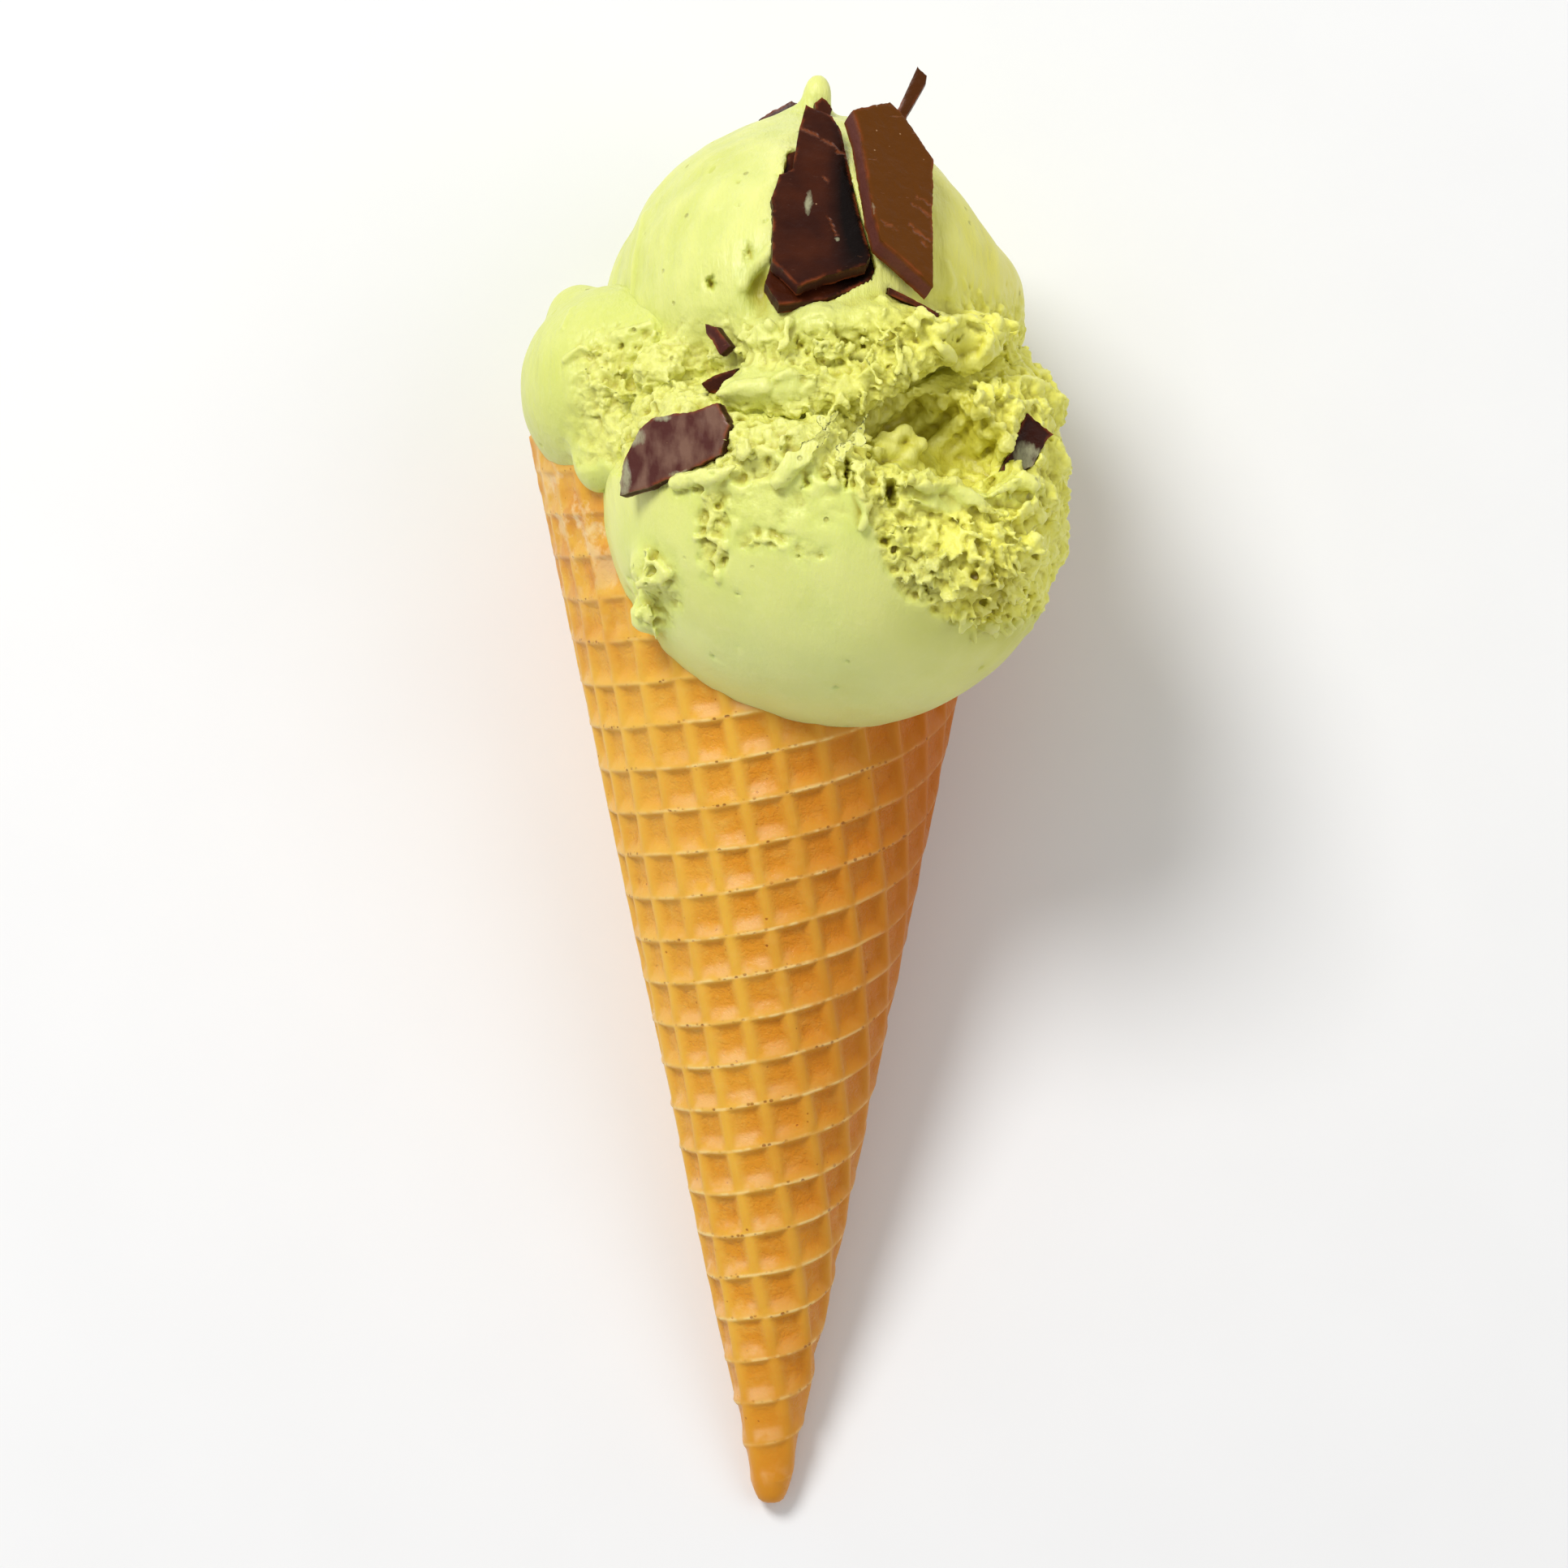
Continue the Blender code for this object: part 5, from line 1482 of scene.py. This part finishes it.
# Top scoop: the highest ball, smoothed by the scoop on its upper left, drawn out to a peak
# that curls right, and torn into curls and fingers along its foot where it was pulled away.
TOP_BLOBS = (
    (5.8, -1, 153.8, 27.1, 36.8, 27.2), (3, 4, 150.6, 25.4, 34, 22), (-5, 9, 144, 21.5, 21.5, 10),
    (4.4, -6.5, 177.6, 3.2, 3.6, 4.2), (6, -7.4, 183, 1.9, 1.9, 2.7),
    (0.5, -36, 148.6, 4.6, 5, 3.8), (7, -36.5, 150.2, 5, 5.4, 3.8),
    (13.6, -36.2, 150.6, 5, 5.4, 3.8), (19.4, -34.6, 149.8, 4.6, 5.6, 3.8),
    (25.4, -30.6, 149.7, 4.6, 6, 3.8), (29.4, -23, 149, 3.2, 5, 4), (3.6, -36, 142.4, 9, 8, 5),
    (10.5, -38, 143, 4.5, 5, 3.6), (14.6, -37.5, 144.8, 3.8, 5, 3), (18.4, -37, 146.6, 3, 4.6, 2.6),
    (-3.2, -37.6, 142.2, 4, 4.4, 2.8), (-13, -26, 146, 5, 6, 4.5),
)
TOP_HOLLOWS = (
    (18.6, -42, 137.4, 6, 15, 4.2), (24, -40, 140.6, 7.5, 14, 4.4), (-1.4, -37, 155.6, 1.6, 3.4, 3),
    (-6.2, -37.5, 147.4, 2.4, 4, 2.6), (71.6, -1, 206.1, 60, 300, 60),
)
TOP_FLAKES = (
    (12.5, 148.4, 5, 3, 0.3),
)
TOP_CURLS = (
    (4, 149.5, 9, 3.6, 0.35), (13.6, 151, 4.6, 3, 0.6), (13, 144.4, 5.6, 3, 0.8),
    (-13, 148, 7, 5, 0.35), (30, 151, 3, 4, 0.4),
)
TOP_PITS = (
    (-7.4, 156.6, 0.7, 0.9, 1.6), (3.6, 148.6, 0.6, 1.2, 1.2), (23.3, 149.4, 0.6, 0.5, 0.9),
    (21.6, 148.9, 0.3, 0.4, 0.7), (-2.6, 160.4, 0.5, 1.3, 0.8),
)
TOP_STROKES = (
    (((20.5, 148.1, 1.2), (21.9, 147, 1.5), (24.3, 146.6, 1.6), (26.6, 147.3, 1.6), (27.5, 149.1, 1.5),
     (26.9, 150.9, 1.2), (25, 151.8, 1), (22.9, 151.5, 0.9), (21.1, 150.3, 1.1)), 0.9),
    (((25.4, 151.9, 0.6), (25.7, 153.3, 0.2)), 1.6),
    (((17.1, 150.9, 0.8), (18.7, 151.9, 0.8), (20.1, 151.3, 0.7)), 0.9),
    (((17.9, 148.7, 0.7), (18.3, 150.7, 0.9)), 1),
    (((5.9, 147.7, 0.4), (7.2, 149.1, 0.4)), 0.9),
    (((7.2, 147.3, 0.4), (8.4, 148.7, 0.5)), 0.9),
    (((8.6, 147.3, 0.4), (9.8, 148.7, 0.4)), 0.9),
    (((11, 149.1, 0.5), (12.6, 150.9, 0.5)), 0.9),
    (((12.6, 148.1, 0.5), (14.2, 150.1, 0.6)), 0.9),
    (((14.2, 147.5, 0.5), (15.6, 149.7, 0.5)), 0.9),
    (((2.3, 150.9, 0.8), (1.7, 149.1, 0.9), (0.8, 147.7, 0.9)), 1),
    (((6.8, 145.2, 1.3), (7.2, 142.6, 1.6), (7.9, 140.4, 1.1)), 0.5, True),
    (((10.4, 146.6, 1.3), (11, 144.4, 1.8), (11.3, 142.8, 1.4)), 0.5, True),
    (((13.6, 147.4, 1.3), (14.4, 145.4, 1.8), (14.6, 144.2, 1.4)), 0.5, True),
    (((16.9, 147.8, 1.3), (17.5, 146.2, 1.7), (17.9, 145, 1.3)), 0.5, True),
    (((12.4, 145.2, 0.7), (12.9, 143.6, 0.8)), 1.6),
    (((15.6, 146.4, 0.7), (16.2, 144.8, 0.8)), 1.6),
    (((4.7, 140.8, 0.8), (5.7, 139.4, 0.8)), 0.6),
    (((7, 140.2, 0.8), (8.2, 141.8, 0.9)), 0.8),
    (((9.2, 141.2, 0.7), (10.2, 139.6, 0.6)), 0.8),
    (((11.2, 140.6, 0.6), (11.6, 142.4, 0.8)), 0.8),
    (((-6, 142, 0.9), (-3.8, 142.8, 1.4), (-0.9, 143, 1.6)), 0.3),
    (((0.9, 144, 0.8), (3.1, 144.8, 0.9), (5.3, 144.2, 0.7)), 0.3),
    (((-16.1, 166.9, 1), (-17.3, 161.2, 1.3), (-18, 154.5, 1)), -0.3),
    (((0.7, 161.2, 1), (-1.9, 158.2, 1.2), (-3.3, 156, 1)), 0),
    (((-3.2, 151.1, 0.9), (-3.8, 148.1, 1), (-3.2, 145.4, 0.8)), 0.2),
    (((22.1, 159.4, 0.7), (22.9, 157, 0.9), (22.3, 154.9, 0.7)), -0.1),
    (((24.4, 157.6, 0.6), (25.4, 155.4, 0.8), (25.8, 153.4, 0.6)), -0.1),
    (((26.6, 156.2, 0.6), (28, 153.9, 0.8), (28.4, 151.7, 0.7)), 0),
)
make_scoop(
    "scoop_top_torn", "scoop_top", TOP_BLOBS, TOP_HOLLOWS,
    {**CRAGS, "Seed": 7, "Lump Height": 0.9, "Dent Height": 1.5},
    (TOP_FLAKES, TOP_CURLS, (), (14.0, -34.0, 156.0)), TOP_STROKES, TOP_PITS,
)


# Left scoop: a smaller lobe of the same ice cream, pressed against the other two on the left.
# Its outer side is smooth, and the side by the top scoop is torn and pitted.
LEFT_BLOBS = (
    (-18.1, -10, 144.8, 14.2, 16.8, 13.6), (-24.8, -6, 154.2, 4, 5.6, 4.4),
    (-14, -20, 149, 6, 7, 6), (-21.6, -20.5, 135.4, 3.6, 4, 4.6),
    (-18.4, -23, 136.6, 3.6, 4.6, 5.2),
)
LEFT_CURLS = ((-14.0, 147.0, 8.0, 7.0, 0.4),)
LEFT_STROKES = (
    (((-20.7, 144, 0.8), (-18.3, 143.1, 1.2), (-15.6, 143.8, 0.9)), 0.5),
    (((-14.6, 149.5, 1), (-13, 147.8, 1.3), (-13.6, 145.6, 1)), 0.5),
    (((-26.1, 147.6, 0.7), (-24.2, 149.1, 0.8), (-21.8, 148.6, 0.7)), 0.2),
    (((-19.7, 150.7, 0.8), (-17.5, 151.1, 0.9), (-15.2, 151.7, 0.8)), 0.4),
    (((-23.2, 146.4, 0.7), (-22.6, 144.4, 0.7)), 0.3),
    (((-11.2, 151.1, 0.7), (-10.1, 149.1, 0.8), (-11, 147, 0.7)), 0.4),
    (((-25.4, 154.6, 0.5), (-26.5, 151.9, 0.6)), 0),
)
make_scoop(
    "scoop_left_torn", "scoop_left", LEFT_BLOBS, (),
    {**CRAGS, "Seed": 11, "Lump Height": 0.9, "Dent Height": 0.7},
    (None, LEFT_CURLS, (), None), LEFT_STROKES,
)


# Floor: a plain pale board that the cone lies on, with no joins in view.
FLOOR_HALF = 3.0
corners = [(x * FLOOR_HALF, y * FLOOR_HALF, 0) for x, y in ((-1, -1), (1, -1), (1, 1), (-1, 1))]
floor_mesh = bpy.data.meshes.new("floor")
floor_mesh.from_pydata(corners, [], [(0, 1, 2, 3)])
floor = new_object("floor", floor_mesh)
floor_finish, floor_tree, floor_shader = new_finish("pale_board", {"Roughness": 0.75})
board = object_place(floor_tree).cloud(0.02, 4.0)
board = tinted(floor_tree, board, (0.86, 0.86, 0.86, 1), (0.89, 0.89, 0.89, 1))
board.into(floor_shader.inputs["Base Color"])
floor_mesh.materials.append(floor_finish)


# Light: a large soft lamp over the upper left, a weaker one from the right and an even sky.
def soft_lamp(name, place, size, power):
    lamp = bpy.data.lights.new(name, "AREA")
    lamp.shape = "DISK"
    lamp.size = size
    lamp.energy = power
    obj = new_object(name, lamp)
    obj.location = place
    aim = Vector((0.0, 0.02, 0.03)) - Vector(place)
    obj.rotation_euler = aim.to_track_quat("-Z", "Y").to_euler()


soft_lamp("key_lamp", (-0.5, 0.52, 1.08), 0.5, 11.0)
soft_lamp("fill_lamp", (0.8, -0.1, 1.1), 0.9, 2.6)
sky = bpy.data.worlds.new("even_sky")
sky.use_nodes = True
sky_light = sky.node_tree.nodes["Background"].inputs
sky_light["Color"].default_value = (1.0, 1.0, 1.0, 1.0)
sky_light["Strength"].default_value = 0.45
bpy.context.scene.world = sky
bpy.context.scene.view_settings.view_transform = "Standard"


# Camera: it looks down on the side that shows, square on to the cone's axis.
VIEW_DISTANCE = 0.8
VIEW_WIDTH = 0.2048
AIM = Vector((1.7, 0.0, 93.9))
lens = bpy.data.cameras.new("camera")
lens.sensor_width = 36.0
lens.lens = 36.0 * VIEW_DISTANCE / VIEW_WIDTH
camera = new_object("camera", lens)
towards_cone = Vector((0.0, SIN_HALF, -COS_HALF))
camera.location = LAID_DOWN @ AIM - towards_cone * VIEW_DISTANCE
camera.rotation_euler = (HALF_ANGLE, 0.0, 0.0)
bpy.context.scene.camera = camera
